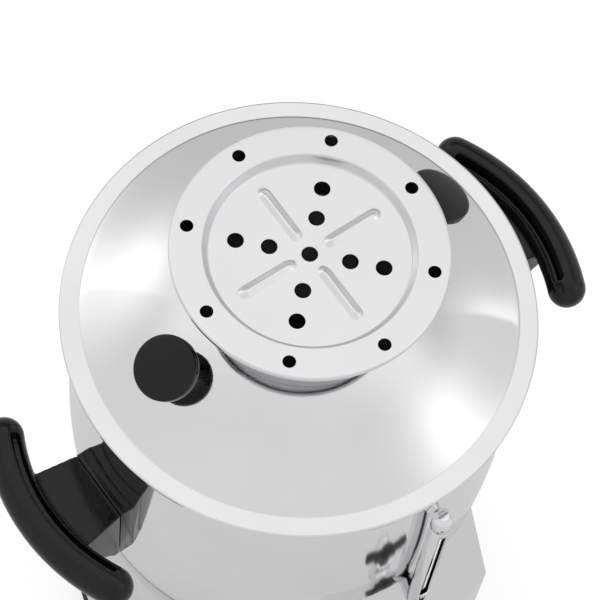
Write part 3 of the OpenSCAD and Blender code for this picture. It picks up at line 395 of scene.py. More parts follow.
def lathe(name: str, outline: Sequence[Point], segments: int = 224, closed: bool = True) -> bpy.types.Object:
    """Turns an outline round the upright axis.

    Args:
        name: the piece's name.
        outline: radius and height of each point, in millimetres.
        segments: faces round the axis.
        closed: whether the outline is a loop; if not, it starts and ends on the axis.

    Returns:
        The new piece.
    """
    mesh = bmesh.new()
    turn = [math.tau * k / segments for k in range(segments)]
    rings = []
    for r, z in outline:
        if r < 1e-6:
            rings.append([mesh.verts.new((0, 0, z * MM))] * segments)
            continue
        rings.append([mesh.verts.new((r * MM * math.cos(a), r * MM * math.sin(a), z * MM)) for a in turn])
    pairs = list(zip(rings, rings[1:]))
    if closed:
        pairs.append((rings[-1], rings[0]))
    for low, high in pairs:
        for k in range(segments):
            n = (k + 1) % segments
            corners = list(dict.fromkeys((low[k], low[n], high[n], high[k])))
            mesh.faces.new(corners)
    bmesh.ops.recalc_face_normals(mesh, faces=mesh.faces)
    return plain_mesh(name, mesh)


def rod(name: str, radius: float, length: float, place: Matrix) -> bpy.types.Object:
    """Makes a plain cutting rod, centred on a place, in millimetres, and returns it."""
    mesh = bmesh.new()
    bmesh.ops.create_cone(mesh, cap_ends=True, segments=48, radius1=radius * MM, radius2=radius * MM,
                          depth=length * MM)
    bmesh.ops.transform(mesh, matrix=place, verts=mesh.verts)
    return plain_mesh(name, mesh)


def at(x: float, y: float, z: float, turn: Optional[Matrix] = None) -> Matrix:
    """Returns a place in millimetres, with a turn if one is given."""
    return Matrix.Translation(Vector((x, y, z)) * MM) @ (turn or Matrix.Identity(4))


def discard(piece: bpy.types.Object) -> None:
    """Removes a helper and its mesh."""
    data = piece.data
    bpy.data.objects.remove(piece)
    bpy.data.meshes.remove(data)


def carve(piece: bpy.types.Object, tools: Sequence[bpy.types.Object], operation: str = "DIFFERENCE") -> None:
    """Cuts tools out of a piece, or joins them to it, and removes them.

    Args:
        piece: the piece that changes.
        tools: closed solids.
        operation: the boolean's name.
    """
    for tool in tools:
        cut = piece.modifiers.new("cut", "BOOLEAN")
        cut.operation, cut.object, cut.solver = operation, tool, "EXACT"
    baked(piece)
    for tool in tools:
        discard(tool)


def copy_of(node: str, name: str) -> bpy.types.Object:
    """Copies a CAD node's mesh, merges its loose triangles and clears flat seams.

    Args:
        node: the CAD node.
        name: the new piece's name.

    Returns:
        The new piece.
    """
    mesh = bmesh.new()
    mesh.from_mesh(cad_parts[node].data)
    bmesh.ops.remove_doubles(mesh, verts=mesh.verts, dist=2e-6)
    bmesh.ops.dissolve_degenerate(mesh, edges=mesh.edges, dist=1e-6)
    bmesh.ops.dissolve_limit(mesh, angle_limit=math.radians(0.3), verts=mesh.verts, edges=mesh.edges)
    return plain_mesh(name, mesh)


def eased(node: str, name: str, width: float) -> bpy.types.Object:
    """Copies a CAD node and eases its edges that are sharper than 35 degrees.

    Args:
        node: the CAD node.
        name: the new piece's name.
        width: how wide the eased edges are, in millimetres.

    Returns:
        The new piece.
    """
    piece = copy_of(node, name)
    bevel = piece.modifiers.new("ease", "BEVEL")
    bevel.width, bevel.segments = width * MM, 2
    bevel.limit_method, bevel.angle_limit = "ANGLE", math.radians(35)
    bevel.use_clamp_overlap = True
    baked(piece)
    shade(piece, 40)
    return piece


def true_round(piece: bpy.types.Object, least: float = 12.0, off: float = 0.12) -> None:
    """Gives the faces that run round the upright axis the normals of the true cone or cylinder.

    Args:
        piece: the piece, already shaded.
        least: faces below this area, in square millimetres, keep their normals.
        off: the most that a face may turn away from the axis.
    """
    mesh = piece.data
    normals = [Vector(corner.vector) for corner in mesh.corner_normals]
    for face in mesh.polygons:
        out = Vector((face.center.x, face.center.y, 0.0)).normalized()
        aside = abs(face.normal.x * out.y - face.normal.y * out.x)
        level = math.hypot(face.normal.x, face.normal.y)
        if face.area < least * MM * MM or aside > off or face.normal.dot(out) < 0.2:
            continue
        for corner in face.loop_indices:
            spot = mesh.vertices[mesh.loops[corner].vertex_index].co
            way = Vector((spot.x, spot.y, 0.0)).normalized() * level
            normals[corner] = Vector((way.x, way.y, face.normal.z))
    mesh.normals_split_custom_set(normals)


def moulded(node: str, name: str, grain: float, passes: int) -> bpy.types.Object:
    """Copies a CAD node as one moulding whose inner and outer corners are all rounded.

    Args:
        node: the CAD node.
        name: the new piece's name.
        grain: size of the remeshed faces, in millimetres.
        passes: how often the surface is smoothed.

    Returns:
        The new piece.
    """
    piece = copy_of(node, name)
    remesh = piece.modifiers.new("remesh", "REMESH")
    remesh.mode, remesh.voxel_size, remesh.use_smooth_shade = "VOXEL", grain * MM, True
    smooth = piece.modifiers.new("smooth", "SMOOTH")
    smooth.factor, smooth.iterations = 0.5, passes
    baked(piece)
    piece.data.shade_smooth()
    return piece


class RingTree:
    """A Geometry Nodes tree that repeats something on a ring round the origin."""

    def __init__(self, name: str, extra: dict[str, str]) -> None:
        """Builds the tree's named inputs and the ring's points.

        Args:
            name: the tree's name.
            extra: the inputs that only this tree has, with their socket types.
        """
        self.tree = bpy.data.node_groups.new(name, "GeometryNodeTree")
        kinds = {"Geometry": "NodeSocketGeometry", **extra}
        kinds |= dict.fromkeys(("Radius", "Start", "Sweep", "Height"), "NodeSocketFloat")
        kinds |= {"Count": "NodeSocketInt", "Finish": "NodeSocketMaterial"}
        for key, kind in kinds.items():
            self.tree.interface.new_socket(key, in_out="INPUT", socket_type=kind)
        self.tree.interface.new_socket("Geometry", in_out="OUTPUT", socket_type="NodeSocketGeometry")
        self.nodes = make = NodeMaker(self.tree)
        self.given = given = make.add("NodeGroupInput").outputs
        line = make.add("GeometryNodeMeshLine", {"Count": given["Count"]}, mode="OFFSET")
        share = make.math("DIVIDE", make.add("GeometryNodeInputIndex").outputs[0], given["Count"])
        self.turn = make.math("ADD", given["Start"], make.math("MULTIPLY", share, given["Sweep"]))
        x = make.math("MULTIPLY", make.math("COSINE", self.turn), given["Radius"])
        y = make.math("MULTIPLY", make.math("SINE", self.turn), given["Radius"])
        spot = make.add("ShaderNodeCombineXYZ", {0: x, 1: y, 2: given["Height"]}).outputs[0]
        placed = make.add("GeometryNodeSetPosition", {"Geometry": line.outputs[0], "Position": spot})
        self.points = placed.outputs[0]

    def close(self, shape: Socket) -> None:
        """Ends the tree: the shape is made real and gets its finish."""
        real = self.nodes.add("GeometryNodeRealizeInstances", {0: shape})
        done = self.nodes.add("GeometryNodeSetMaterial",
                              {"Geometry": real.outputs[0], "Material": self.given["Finish"]})
        self.nodes.add("NodeGroupOutput", {0: done.outputs[0]})

    def drive(self, piece: bpy.types.Object, **values: object) -> None:
        """Adds the tree to a piece as a live modifier and sets its inputs by their identifiers.

        Args:
            piece: the object that carries the modifier.
            values: the inputs by name.
        """
        live = piece.modifiers.new(self.tree.name, "NODES")
        live.node_group = self.tree
        for item in self.tree.interface.items_tree:
            if item.item_type == "SOCKET" and item.in_out == "INPUT" and item.name in values:
                live[item.identifier] = values[item.name]


class Punch(RingTree):
    """A tree that punches a ring of round holes through a plate."""

    def __init__(self) -> None:
        """Builds the tree once."""
        super().__init__("punch_ring", {"Hole": "NodeSocketFloat"})
        make = self.nodes
        bit = make.add("GeometryNodeMeshCylinder",
                       {"Vertices": 48, "Radius": self.given["Hole"], "Depth": 0.02})
        bits = make.add("GeometryNodeInstanceOnPoints", {"Points": self.points, "Instance": bit.outputs[0]})
        solid = make.add("GeometryNodeRealizeInstances", {0: bits.outputs[0]})
        cut = make.add("GeometryNodeMeshBoolean", {0: self.given["Geometry"], 1: solid.outputs[0]},
                       operation="DIFFERENCE", solver="EXACT")
        self.close(cut.outputs[0])


class RingOf(RingTree):
    """A tree that repeats a small shape on a ring, standing outwards."""

    def __init__(self) -> None:
        """Builds the tree once."""
        super().__init__("ring_of", {"Shape": "NodeSocketObject"})
        make = self.nodes
        shape = make.add("GeometryNodeObjectInfo", {"Object": self.given["Shape"]})
        spin = make.add("ShaderNodeCombineXYZ", {2: self.turn}).outputs[0]
        copies = make.add("GeometryNodeInstanceOnPoints",
                          {"Points": self.points, "Instance": shape.outputs["Geometry"], "Rotation": spin})
        self.close(copies.outputs[0])

    def make(self, name: str, shape: bpy.types.Object, finish: Finish, place: Matrix,
             **sizes: Value) -> bpy.types.Object:
        """Repeats a shape on a ring and puts the ring in its place.

        Args:
            name: the new piece's name.
            shape: the shape at the origin, outward along +X; it is removed.
            finish: the finish of the copies.
            place: where the ring's centre and axis go.
            sizes: Start, Sweep, Radius and Count.

        Returns:
            The new piece as a plain mesh at the origin.
        """
        piece = new_object(name, bpy.data.meshes.new(name))
        self.drive(piece, Shape=shape, Finish=finish.material(), **sizes)
        baked(piece)
        piece.data.transform(place)
        discard(shape)
        return piece


@dataclass
class Tank:
    """The barrel-shaped water tank and its rolled mouth."""

    belly_r: float = 142.4
    belly_z: float = 310.0
    upper_arc: float = 1892.2
    lower_arc: float = 690.98
    floor_z: float = 128.0
    seam_z: float = 180.0
    seam_gap: float = 0.05
    wall: float = 1.5
    mouth_z: float = 418.5
    bead_r: float = 3.0
    bead_drop: float = 2.6
    gauge_z: float = 384.0
    gauge_way_r: float = 4.8
    bolt_heights: tuple[float, float] = (328.0, 298.0)
    bolt_way_r: float = 3.3
    way_at: float = 140.0
    way_len: float = 30.0
    tap_z: float = 158.0
    tap_way_r: float = 9.3
    tap_way_at: float = 124.0
    tap_way_len: float = 40.0
    boss_r: float = 16.0
    boss_at: float = 124.2
    boss_len: float = 15.0

    def radius(self, z: float) -> float:
        """Returns the tank's outer radius at a height."""
        arc = self.upper_arc if z > self.belly_z else self.lower_arc
        return self.belly_r - arc + math.sqrt(arc * arc - (z - self.belly_z) ** 2)

    def faces(self, low: float, high: float) -> tuple[list[Point], list[Point]]:
        """Returns the wall's outer face, going up, and its inner face, going down, between two heights."""
        steps = 44
        heights = [low + (high - low) * k / steps for k in range(steps + 1)]
        outer = [(self.radius(z), z) for z in heights]
        inner = [(self.radius(z) - self.wall, z) for z in reversed(heights)]
        return outer, inner

    def barrel(self) -> None:
        """Builds the barrel with its rolled mouth and the holes for the gauge and the handles' bolts."""
        bead = self.radius(self.mouth_z) - self.wall + self.bead_r
        bead_z = self.mouth_z - self.bead_r
        outer, inner = self.faces(self.seam_z, bead_z - self.bead_drop)
        lip = [(bead + self.bead_r * math.cos(a), bead_z + self.bead_r * math.sin(a))
               for a in (math.radians(-100 + 14 * k) for k in range(21))]
        wall = lathe("tank_wall", [*outer, *lip, *inner])
        tools = [rod("gauge_way", self.gauge_way_r, self.way_len, at(0, -self.way_at, self.gauge_z, FORWARD))]
        tools += [rod("bolt_way", self.bolt_way_r, self.way_len, at(side * self.way_at, 0, z, SIDEWAYS))
                  for side in SIDES for z in self.bolt_heights]
        carve(wall, tools)
        shade(wall, 35)
        settle(wall, POLISHED, Body.STAND, "tank")

    def bottom(self) -> None:
        """Builds the bottom section with the boss and the hole that the tap screws into."""
        outer, inner = self.faces(self.floor_z, self.seam_z - self.seam_gap)
        bowl = lathe("tank_bottom", [*outer, *inner])
        boss = rod("boss", self.boss_r, self.boss_len, at(0, -self.boss_at, self.tap_z, FORWARD))
        carve(bowl, [boss], "UNION")
        place = at(0, -self.tap_way_at, self.tap_z, FORWARD)
        carve(bowl, [rod("tap_way", self.tap_way_r, self.tap_way_len, place)])
        shade(bowl, 35)
        settle(bowl, POLISHED, Body.STAND, "tank_bowl")

    def build(self) -> None:
        """Builds both sections of the tank."""
        self.barrel()
        self.bottom()


@dataclass
class Lid:
    """The conical lid with its collar, knobs and crown plate."""

    sheet: float = 1.2
    rim_r: float = 148.0
    rim_z: float = 420.0
    rim_curl: float = 3.5
    flat_r: float = 138.2
    foot_r: float = 136.0
    foot_fillet: float = 5.0
    slope: float = 30.0
    slope_r: float = 131.0
    slope_step: float = 3.25
    slope_count: int = 21
    bend_r: float = 117.0
    bend: float = 0.00268
    neck_r: float = 63.4
    register_r: tuple[float, float] = (134.4, 135.6)
    register_z: float = 413.8
    under_r: tuple[float, float] = (137.2, 146.8)
    collar_r: float = 64.8
    collar_foot: float = 2.6
    collar_top: float = 502.5
    collar_flare: float = 16.6
    knob_at: float = 90.0
    knob_z: float = 440.83
    knob_gap: float = 1.1
    stem_r: float = 8.4
    stem_z: float = 6.0
    cap_r: float = 19.2
    cap_z: float = 26.2
    cap_top: float = 28.0
    screw_way_r: float = 2.8
    screw_bore_r: float = 2.55
    crown_r: float = 83.5
    crown_z: float = 504.0
    crown_turn: float = 44.0
    pan_z: float = 497.0
    pan_r: float = 59.9
    pan_wall: float = 4.2
    rib_in: float = 15.0
    rib_out: float = 46.5
    rib_half: float = 4.6
    rib_h: float = 2.3
    punch: Punch = field(default_factory=Punch)

    def cone_z(self, r: float) -> float:
        """Returns the height of the cone's upper face at a radius; it flattens a little towards the crown."""
        inside = max(self.bend_r - r, 0.0)
        rise = (self.foot_r - r) * math.tan(math.radians(self.slope))
        return self.rim_z + rise - self.bend * inside * inside

    def shell(self) -> None:
        """Builds the lid's flange, its cone and the register under its rim."""
        drop = self.sheet / math.cos(math.radians(self.slope))
        z, neck = self.rim_z, self.cone_z(self.neck_r)
        inside, outside = self.under_r
        radii = [self.slope_r - self.slope_step * k for k in range(self.slope_count)]
        points = [
            (self.rim_r, z - self.rim_curl, 0.5), (self.rim_r, z, 1.15), (self.rim_r - 1.5, z, 0.0),
            (self.flat_r, z, 0.0), (self.foot_r, z, self.foot_fillet),
            *((r, self.cone_z(r), 0.0) for r in radii),
            (self.neck_r, neck, 0.3), (self.neck_r, neck - drop, 0.3),
            *((r, self.cone_z(r) - drop, 0.0) for r in reversed(radii)),
            *((r, self.register_z, 0.4) for r in self.register_r),
            (inside, z - self.sheet, 0.5), (outside, z - self.sheet, 0.3), (outside, z - self.rim_curl, 0.4),
        ]
        shell = lathe("lid_cone", filleted(points), 256)
        carve(shell, [rod("screw_way", self.screw_way_r, 12, self.knob_place(side)) for side in SIDES])
        shade(shell, 28)
        settle(shell, POLISHED, Body.LID, "lid_shell")

    def collar(self) -> None:
        """Builds the flared collar with its small turned-out foot on the cone."""
        foot_r, top, flare = self.collar_r, self.collar_top, self.collar_flare
        base = self.cone_z(foot_r)
        start = base + self.collar_foot
        arc = ((top - base) ** 2 + flare ** 2) / (2 * flare)
        steps = 28
        heights = [start + (top - start) * k / steps for k in range(steps + 1)]
        outer = [(foot_r + arc - math.sqrt(arc ** 2 - (z - base) ** 2), z) for z in heights]
        inner = [(foot_r + arc - math.sqrt((arc + self.sheet) ** 2 - (z - base) ** 2), z) for z in heights]
        lip = foot_r + 0.9
        foot = [(foot_r - self.sheet, base + 0.75), (foot_r, base + 0.05), (lip, self.cone_z(lip) + 0.05),
                (foot_r + 0.6, base + 0.6), (foot_r + 0.3, base + 1.5)]
        collar = lathe("lid_neck", [*foot, *outer, *reversed(inner)], 240)
        shade(collar, 35)
        # The collar's dark steel colour is painted shade under the crown.
        settle(collar, SHADED_SHEET, Body.LID, "lid_collar")

    def knob_place(self, side: int) -> Matrix:
        """Returns the place of a knob's foot, with its axis along the cone's normal."""
        tilt = Matrix.Rotation(math.radians(side * self.slope), 4, "Y")
        return at(side * self.knob_at, 0, self.knob_z, tilt)

    def knob_outline(self) -> list[Point]:
        """Returns a mushroom knob's outline from the middle of its foot to the middle of its top."""
        stem, low, cap, high = self.stem_r, self.stem_z, self.cap_r, self.cap_z
        outline: list[Point] = [(0.0, 0.0), (8.6, 0.0), (9.0, 0.4), (8.7, 3.0), (stem, low)]
        for k in range(1, 9):
            a = math.radians(90 * k / 8)
            outline.append((stem + 9.8 * (1 - math.cos(a)), low + 12.4 * math.sin(a)))
        outline += [(18.9, 18.7), (19.5, 19.2), (19.85, 19.9), (20.0, 20.8), (20.0, 25.2)]
        outline += [(19.9, 25.6), (19.65, 25.95), (cap, high)]
        for k in range(1, 11):
            r = cap * (1 - k / 10)
            outline.append((r, high + (self.cap_top - high) * (1 - (r / cap) ** 2)))
        return outline

    def knobs(self) -> None:
        """Builds the two mushroom knobs."""
        for side, name in zip(SIDES, ("left", "right")):
            knob = lathe(f"knob_{name}", self.knob_outline(), 96, closed=False)
            carve(knob, [rod("screw_bore", self.screw_bore_r, 26, at(0, 0, 0))])
            knob.data.transform(self.knob_place(side) @ at(0, 0, self.knob_gap))
            shade(knob, 50)
            settle(knob, BAKELITE, Body.LID, f"lid_knob_{name}")

    def crown_height(self, r: float, turn: float) -> float:
        """Returns the height of the crown plate's upper face.

        Args:
            r: distance from the axis, in millimetres.
            turn: angle from the line of holes, in radians.

        Returns:
            The height above the table, in millimetres.
        """
        step = min(max((r - self.pan_r) / self.pan_wall, 0.0), 1.0)
        z = self.pan_z + (self.crown_z - self.pan_z) * step * step * (3 - 2 * step)
        nearest = (turn - math.pi / 4) % (math.pi / 2)
        off = min(nearest, math.pi / 2 - nearest)
        along, across = r * math.cos(off), r * math.sin(off)
        beyond = max(self.rib_in - along, along - self.rib_out, 0.0)
        far = math.hypot(across, beyond) / self.rib_half
        return z + (self.rib_h * (0.5 + 0.5 * math.cos(math.pi * far)) if far < 1 else 0.0)

    def crown_face(self) -> bpy.types.Object:
        """Makes the crown plate's upper face with its recess, ribs and turned-down lip, and returns it."""
        segments = 360
        radii = [1.6 * k for k in range(1, 36)] + [56 + 0.4 * k for k in range(1, 27)]
        radii += [68, 71, 74, 77, 80, 82.3]
        edge = [(self.crown_r - self.sheet * (1 - math.sin(a)), self.crown_z - self.sheet * (1 - math.cos(a)))
                for a in (math.radians(15 * k) for k in range(1, 7))]
        edge += [(self.crown_r, self.crown_z - 2.2), (self.crown_r, self.crown_z - 3.4)]
        mesh = bmesh.new()
        centre = mesh.verts.new((0, 0, self.pan_z * MM))
        rings = []
        for r, z in [*((r, None) for r in radii), *edge]:
            ring = []
            for k in range(segments):
                a = math.tau * k / segments
                b = a + math.radians(self.crown_turn)
                height = self.crown_height(r, a) if z is None else z
                ring.append(mesh.verts.new((r * MM * math.cos(b), r * MM * math.sin(b), height * MM)))
            rings.append(ring)
        for k in range(segments):
            n = (k + 1) % segments
            mesh.faces.new((centre, rings[0][k], rings[0][n]))
            for low, high in zip(rings, rings[1:]):
                mesh.faces.new((low[k], high[k], high[n], low[n]))
        return plain_mesh("crown_pressing", mesh)

    def crown(self) -> None:
        """Gives the crown plate its thickness and punches its steam holes."""
        crown = self.crown_face()
        thick = crown.modifiers.new("sheet", "SOLIDIFY")
        thick.thickness, thick.offset = self.sheet * MM, -1.0
        turn = math.radians(self.crown_turn)
        steel = PRESSED.material()
        rings_of_holes = ((74.0, 4.0, 8, self.crown_z), (24.3, 5.0, 4, self.pan_z),
                          (44.5, 5.0, 4, self.pan_z), (0.0, 5.0, 1, self.pan_z))
        for radius, hole, count, height in rings_of_holes:
            self.punch.drive(crown, Radius=radius * MM, Hole=hole * MM, Start=turn, Sweep=math.tau,
                             Height=height * MM, Count=count, Finish=steel)
        baked(crown)
        shade(crown, 40)
        settle(crown, PRESSED, Body.CROWN, "crown_plate")

    def build(self) -> None:
        """Builds every piece of the lid."""
        self.shell()
        self.collar()
        self.knobs()
        self.crown()


@dataclass
class Base:
    """The flared skirt under the tank and its rubber foot."""

    waist_r: float = 116.0
    skirt_r: float = 138.0
    top_z: float = 127.95
    low_z: float = 14.05
    sheet: float = 1.2
    wire_way_r: float = 10.0
    wire_way_at: float = 124.0
    wire_way_z: float = 60.0
    wire_way_len: float = 40.0
    foot_ease: float = 0.6

    def build(self) -> None:
        """Builds the skirt with the wires' way into the housing, and the foot ring."""
        rise, out = self.top_z - self.low_z, self.skirt_r - self.waist_r
        arc = (rise * rise + out * out) / (2 * out)
        centre = self.waist_r + arc
        steps = 40
        heights = [self.low_z + rise * k / steps for k in range(steps + 1)]
        outer = [(centre - math.sqrt(arc ** 2 - (self.top_z - z) ** 2), z) for z in heights]
        wall = arc + self.sheet
        inner = [(centre - math.sqrt(wall ** 2 - (self.top_z - z) ** 2), z) for z in heights]
        skirt = lathe("skirt_flare", [*outer, *reversed(inner)])
        place = at(0, -self.wire_way_at, self.wire_way_z, FORWARD)
        carve(skirt, [rod("wire_way", self.wire_way_r, self.wire_way_len, place)])
        shade(skirt, 30)
        settle(skirt, POLISHED, Body.STAND, "base_skirt")
        settle(eased("foot_ring", "foot_rubber", self.foot_ease), RUBBER, Body.STAND, "foot_ring")


@dataclass
class Handles:
    """The two moulded side handles and their pads."""

    grain: float = 0.9
    passes: int = 7
    pad_ease: float = 0.5

    def build(self) -> None:
        """Builds both handles and pads."""
        for side in ("left", "right"):
            handle = moulded(f"handle_{side}", f"grip_{side}", self.grain, self.passes)
            settle(handle, BAKELITE, Body.STAND, f"handle_{side}")
            pad = eased(f"handle_pad_{side}", f"grip_pad_{side}", self.pad_ease)
            settle(pad, BAKELITE, Body.STAND, f"handle_pad_{side}")


@dataclass
class Front:
    """The control housing with the dial, the switch, the tap and the gauge."""

    face_r: float = 168.0
    control_h: float = 90.0
    control_turn: float = 11.0
    cap_ease: float = 0.7
    rib_size: Corner = (1.2, 1.7, 3.2)
    rib_ease: float = 0.4
    rib_r: float = 17.0
    rib_out: float = 3.4
    rib_count: int = 30
    tick_size: Corner = (3.4, 0.8, 0.3)
    tick_ease: float = 0.05
    tick_r: float = 19.6
    tick_out: float = 0.85
    tick_bend: float = 0.95
    tick_start: float = -135.0
    tick_sweep: float = 280.0
    tick_count: int = 14
    lever_grain: float = 0.5
    lever_passes: int = 6
    ring_of: RingOf = field(default_factory=RingOf)

    def on_face(self, turn: float, height: float, out: float = 0.0) -> Matrix:
        """Returns a place on the housing's front, with +Z outwards and +Y up."""
        spin = Matrix.Rotation(math.radians(turn), 4, "Z")
        return spin @ at(0, -self.face_r - out, height, FORWARD)

    def block(self, name: str, size: Corner, ease: float) -> bpy.types.Object:
        """Makes a small eased block at the origin, for repeating.

        Args:
            name: the block's name.
            size: its size in millimetres.
            ease: the width of its eased edges in millimetres.

        Returns:
            The new block.
        """
        mesh = bmesh.new()
        bmesh.ops.create_cube(mesh, size=1.0)
        bmesh.ops.scale(mesh, vec=Vector(size) * MM, verts=mesh.verts)
        bmesh.ops.bevel(mesh, geom=mesh.edges[:], offset=ease * MM, segments=1, affect="EDGES")
        return plain_mesh(name, mesh)

    def dial(self) -> None:
        """Builds the dial's knob with its grip ribs, and the marks round it."""
        knob = eased("thermostat_knob", "dial_cap", self.cap_ease)
        settle(knob, BAKELITE, Body.DIAL, "thermostat_knob")
        rib = self.block("grip_rib", self.rib_size, self.rib_ease)
        place = self.on_face(-self.control_turn, self.control_h, self.rib_out)
        ribs = self.ring_of.make("dial_grip", rib, BAKELITE, place, Start=0.0, Sweep=math.tau,
                                 Radius=self.rib_r * MM, Count=self.rib_count)
        shade(ribs, 30)
        settle(ribs, BAKELITE, Body.DIAL)
        tick = self.block("dial_tick", self.tick_size, self.tick_ease)
        place = self.on_face(-self.control_turn, self.control_h, self.tick_out)
        ticks = self.ring_of.make("dial_ticks", tick, INK, place, Start=math.radians(self.tick_start),
                                  Sweep=math.radians(self.tick_sweep), Radius=self.tick_r * MM,
                                  Count=self.tick_count)
        self.wrap(ticks, self.tick_bend)
        shade(ticks, 30)
        settle(ticks, INK, Body.STAND)

    def wrap(self, piece: bpy.types.Object, out: float) -> None:
        """Lays a thin flat piece onto the housing's round front.

        Args:
            piece: the piece, drawn on the flat at the front.
            out: how far its middle lies outside the front, in millimetres.
        """
        spin = Matrix.Rotation(math.radians(-self.control_turn), 4, "Z")
        back = spin.inverted()
        bend = (self.face_r + out) * MM
        for v in piece.data.vertices:
            p = back @ v.co
            p.y += bend - math.sqrt(bend * bend - p.x * p.x)
            v.co = spin @ p

    def ease(self, node: str, name: str, width: float, finish: Finish, body: Body) -> bpy.types.Object:
        """Replaces one CAD node by an eased copy with a finish and returns the copy."""
        return settle(eased(node, name, width), finish, body, node)

    def build(self) -> None:
        """Builds the front's pieces."""
        housing = eased("control_housing", "front_housing", 0.45)
        true_round(housing)
        settle(housing, UPRIGHT, Body.STAND, "control_housing")
        self.ease("gauge_guard", "glass_guard", 0.25, UPRIGHT, Body.STAND)
        self.ease("tap_body", "tap_casting", 0.8, CAST, Body.STAND)
        lever = moulded("tap_lever", "tap_key_grip", self.lever_grain, self.lever_passes)
        settle(lever, BAKELITE, Body.TAP_KEY, "tap_lever")
        self.ease("gauge_top_fitting", "glass_cap", 0.6, CAST, Body.STAND)
        self.ease("switch_rocker", "rocker_key", 0.5, LENS, Body.ROCKER)
        self.ease("switch_body", "rocker_case", 0.5, BAKELITE, Body.STAND)
        self.dial()


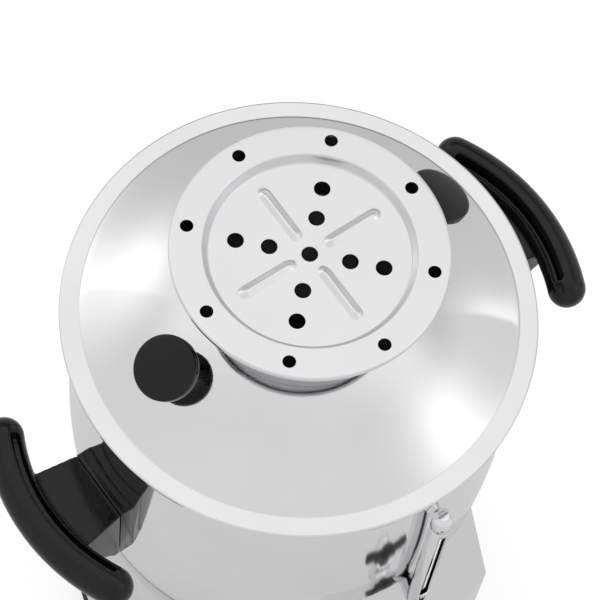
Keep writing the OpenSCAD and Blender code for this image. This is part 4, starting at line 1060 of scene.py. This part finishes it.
@dataclass
class Studio:
    """The camera, the pale floor and the soft light."""

    lens: float = 156.0
    sensor: float = 36.0
    distance: float = 1.59923
    elevation: float = 64.19
    roll: float = 9.63
    look_z: float = 0.420
    shift: Point = (-0.24 / 600, 10.33 / 600)
    wall_light: float = 0.82
    far_light: float = 0.64
    roof_light: float = 0.2
    boxes: tuple[SoftBox, ...] = (
        SoftBox(-62.0, 18.0, 30.0, 14.0, 0.64, edge=-67.1, before=0.72),
        SoftBox(94.0, 17.0, 37.0, 11.0, 0.58),
        SoftBox(56.5, 5.5, 16.0, 12.0, 0.45, edge=56.2, after=0.0),
        SoftBox(0.0, 40.0, 34.0, 11.0, -0.32),
        SoftBox(0.0, 64.0, 43.0, 7.0, -0.36),
        SoftBox(-62.0, 14.0, 3.0, 9.0, -0.45),
        SoftBox(62.0, 14.0, 3.0, 9.0, -0.45),
    )
    floor_half: float = 4.0
    floor_drop: float = 0.0005
    floor_grey: float = 0.5
    floor_glow: float = 0.62
    floor_mirrored: float = 0.45
    lamp_at: Corner = (0.3, 0.3, 2.6)
    lamp_size: float = 1.6
    lamp_power: float = 5.0

    def camera(self) -> None:
        """Puts the camera where the photograph was taken from."""
        tilt = math.radians(self.elevation)
        level = math.cos(tilt) / math.sqrt(2)
        out = Vector((-level, -level, math.sin(tilt)))
        right = Vector((1, -1, 0)).normalized()
        up = out.cross(right)
        a = math.radians(self.roll)
        x_axis = right * math.cos(a) + up * math.sin(a)
        y_axis = up * math.cos(a) - right * math.sin(a)
        turn = Matrix((x_axis, y_axis, out)).transposed().to_4x4()
        data = bpy.data.cameras.new("view")
        data.lens, data.sensor_width = self.lens, self.sensor
        data.shift_x, data.shift_y = self.shift
        data.clip_end = 50.0
        camera = bpy.data.objects.new("view", data)
        bpy.context.scene.collection.objects.link(camera)
        camera.matrix_world = Matrix.Translation(out * self.distance + Vector((0, 0, self.look_z))) @ turn
        bpy.context.scene.camera = camera

    def seen(self, make: NodeMaker) -> Socket:
        """Returns the share of the floor's glow: all for camera and transmitted rays, less in reflections."""
        path = make.add("ShaderNodeLightPath").outputs
        clear = make.math("MAXIMUM", path["Is Camera Ray"], path["Is Transmission Ray"])
        return make.math("ADD", clear, make.math("MULTIPLY", path["Is Glossy Ray"], self.floor_mirrored))

    def room_light(self, make: NodeMaker) -> Socket:
        """Adds the room's light: pale walls, a brighter roof ahead of the camera, soft boxes and dark flags.

        Args:
            make: the maker for the world's nodes.

        Returns:
            The light's strength in each direction.
        """
        way = make.add("ShaderNodeTexCoord").outputs["Generated"]
        parts = make.add("ShaderNodeSeparateXYZ", {0: way}).outputs
        diagonal = math.sqrt(0.5)
        ahead = make.math("MULTIPLY", make.math("ADD", parts[0], parts[1]), diagonal)
        aside = make.math("MULTIPLY", make.math("SUBTRACT", parts[0], parts[1]), diagonal)
        turn = make.math("ARCTAN2", aside, ahead)
        rise = make.math("ARCSINE", parts[2])
        walls = make.ramp(ahead, 0.5, 1.0, self.wall_light, self.far_light)
        high = make.ramp(rise, math.radians(36), math.radians(56), 0.0, self.roof_light)
        roof = make.math("MULTIPLY", high, make.ramp(ahead, -0.3, 0.2, 0.0, 1.0))
        light = make.math("ADD", walls, roof)
        for box in self.boxes:
            light = make.math("ADD", light, box.glow(make, turn, rise))
        return light

    def world(self) -> None:
        """Lights the object with the room and shows plain white to the camera."""
        world = bpy.data.worlds.new("room")
        bpy.context.scene.world = world
        world.use_nodes = True
        tree = world.node_tree
        tree.nodes.clear()
        make = NodeMaker(tree)
        camera_ray = make.add("ShaderNodeLightPath").outputs["Is Camera Ray"]
        white = (1, 1, 1, 1)
        bounced = make.add("ShaderNodeBackground", {"Color": white, "Strength": self.room_light(make)})
        plain = make.add("ShaderNodeBackground", {"Color": white, "Strength": 1.0})
        mixed = make.add("ShaderNodeMixShader", {0: camera_ray, 1: bounced.outputs[0], 2: plain.outputs[0]})
        make.add("ShaderNodeOutputWorld", {0: mixed.outputs[0]})

    def floor(self) -> None:
        """Lays the pale floor, which keeps the object's shadow."""
        mesh = bmesh.new()
        bmesh.ops.create_grid(mesh, x_segments=1, y_segments=1, size=self.floor_half)
        floor = plain_mesh("floor", mesh)
        paint = bpy.data.materials.new("pale_floor")
        paint.use_nodes = True
        tree = paint.node_tree
        tree.nodes.clear()
        make = NodeMaker(tree)
        dull = make.add("ShaderNodeBsdfDiffuse", {"Color": (*[self.floor_grey] * 3, 1)})
        strength = make.math("MULTIPLY", self.seen(make), self.floor_glow)
        glow = make.add("ShaderNodeEmission", {"Strength": strength})
        both = make.add("ShaderNodeAddShader", {0: dull.outputs[0], 1: glow.outputs[0]})
        make.add("ShaderNodeOutputMaterial", {0: both.outputs[0]})
        floor.data.materials.append(paint)
        floor.location.z = -self.floor_drop

    def lamp(self) -> None:
        """Hangs one soft ceiling lamp that faces the lid and isn't seen in the metal."""
        data = bpy.data.lights.new("ceiling_box", "AREA")
        data.shape, data.size, data.size_y = "RECTANGLE", self.lamp_size, self.lamp_size
        data.energy = self.lamp_power
        lamp = bpy.data.objects.new("ceiling_box", data)
        bpy.context.scene.collection.objects.link(lamp)
        lamp.location = self.lamp_at
        lamp.visible_glossy = False
        way = Vector((0, 0, self.look_z)) - Vector(self.lamp_at)
        lamp.rotation_euler = way.to_track_quat("-Z", "Y").to_euler()

    def build(self) -> None:
        """Builds the studio."""
        self.camera()
        self.world()
        self.floor()
        self.lamp()
        bpy.context.scene.view_settings.view_transform = "Standard"


def dress_solids() -> None:
    """Gives every CAD node its finish, also those that a dressed piece hides."""
    for name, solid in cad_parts.items():
        finish = NODE_FINISH.get(name, BAKELITE)
        if not solid.data.materials:
            solid.data.materials.append(finish.material())
        for slot in solid.material_slots:
            slot.link = "OBJECT"
            slot.material = finish.material()


def main() -> None:
    """Builds the studio and every dressed piece in order."""
    logging.basicConfig(level=logging.INFO, format="%(name)s: %(message)s")
    Studio().build()
    dress_solids()
    for part in (Tank(), Lid(), Base(), Handles(), Front()):
        part.build()


if __name__ == "__main__":
    main()
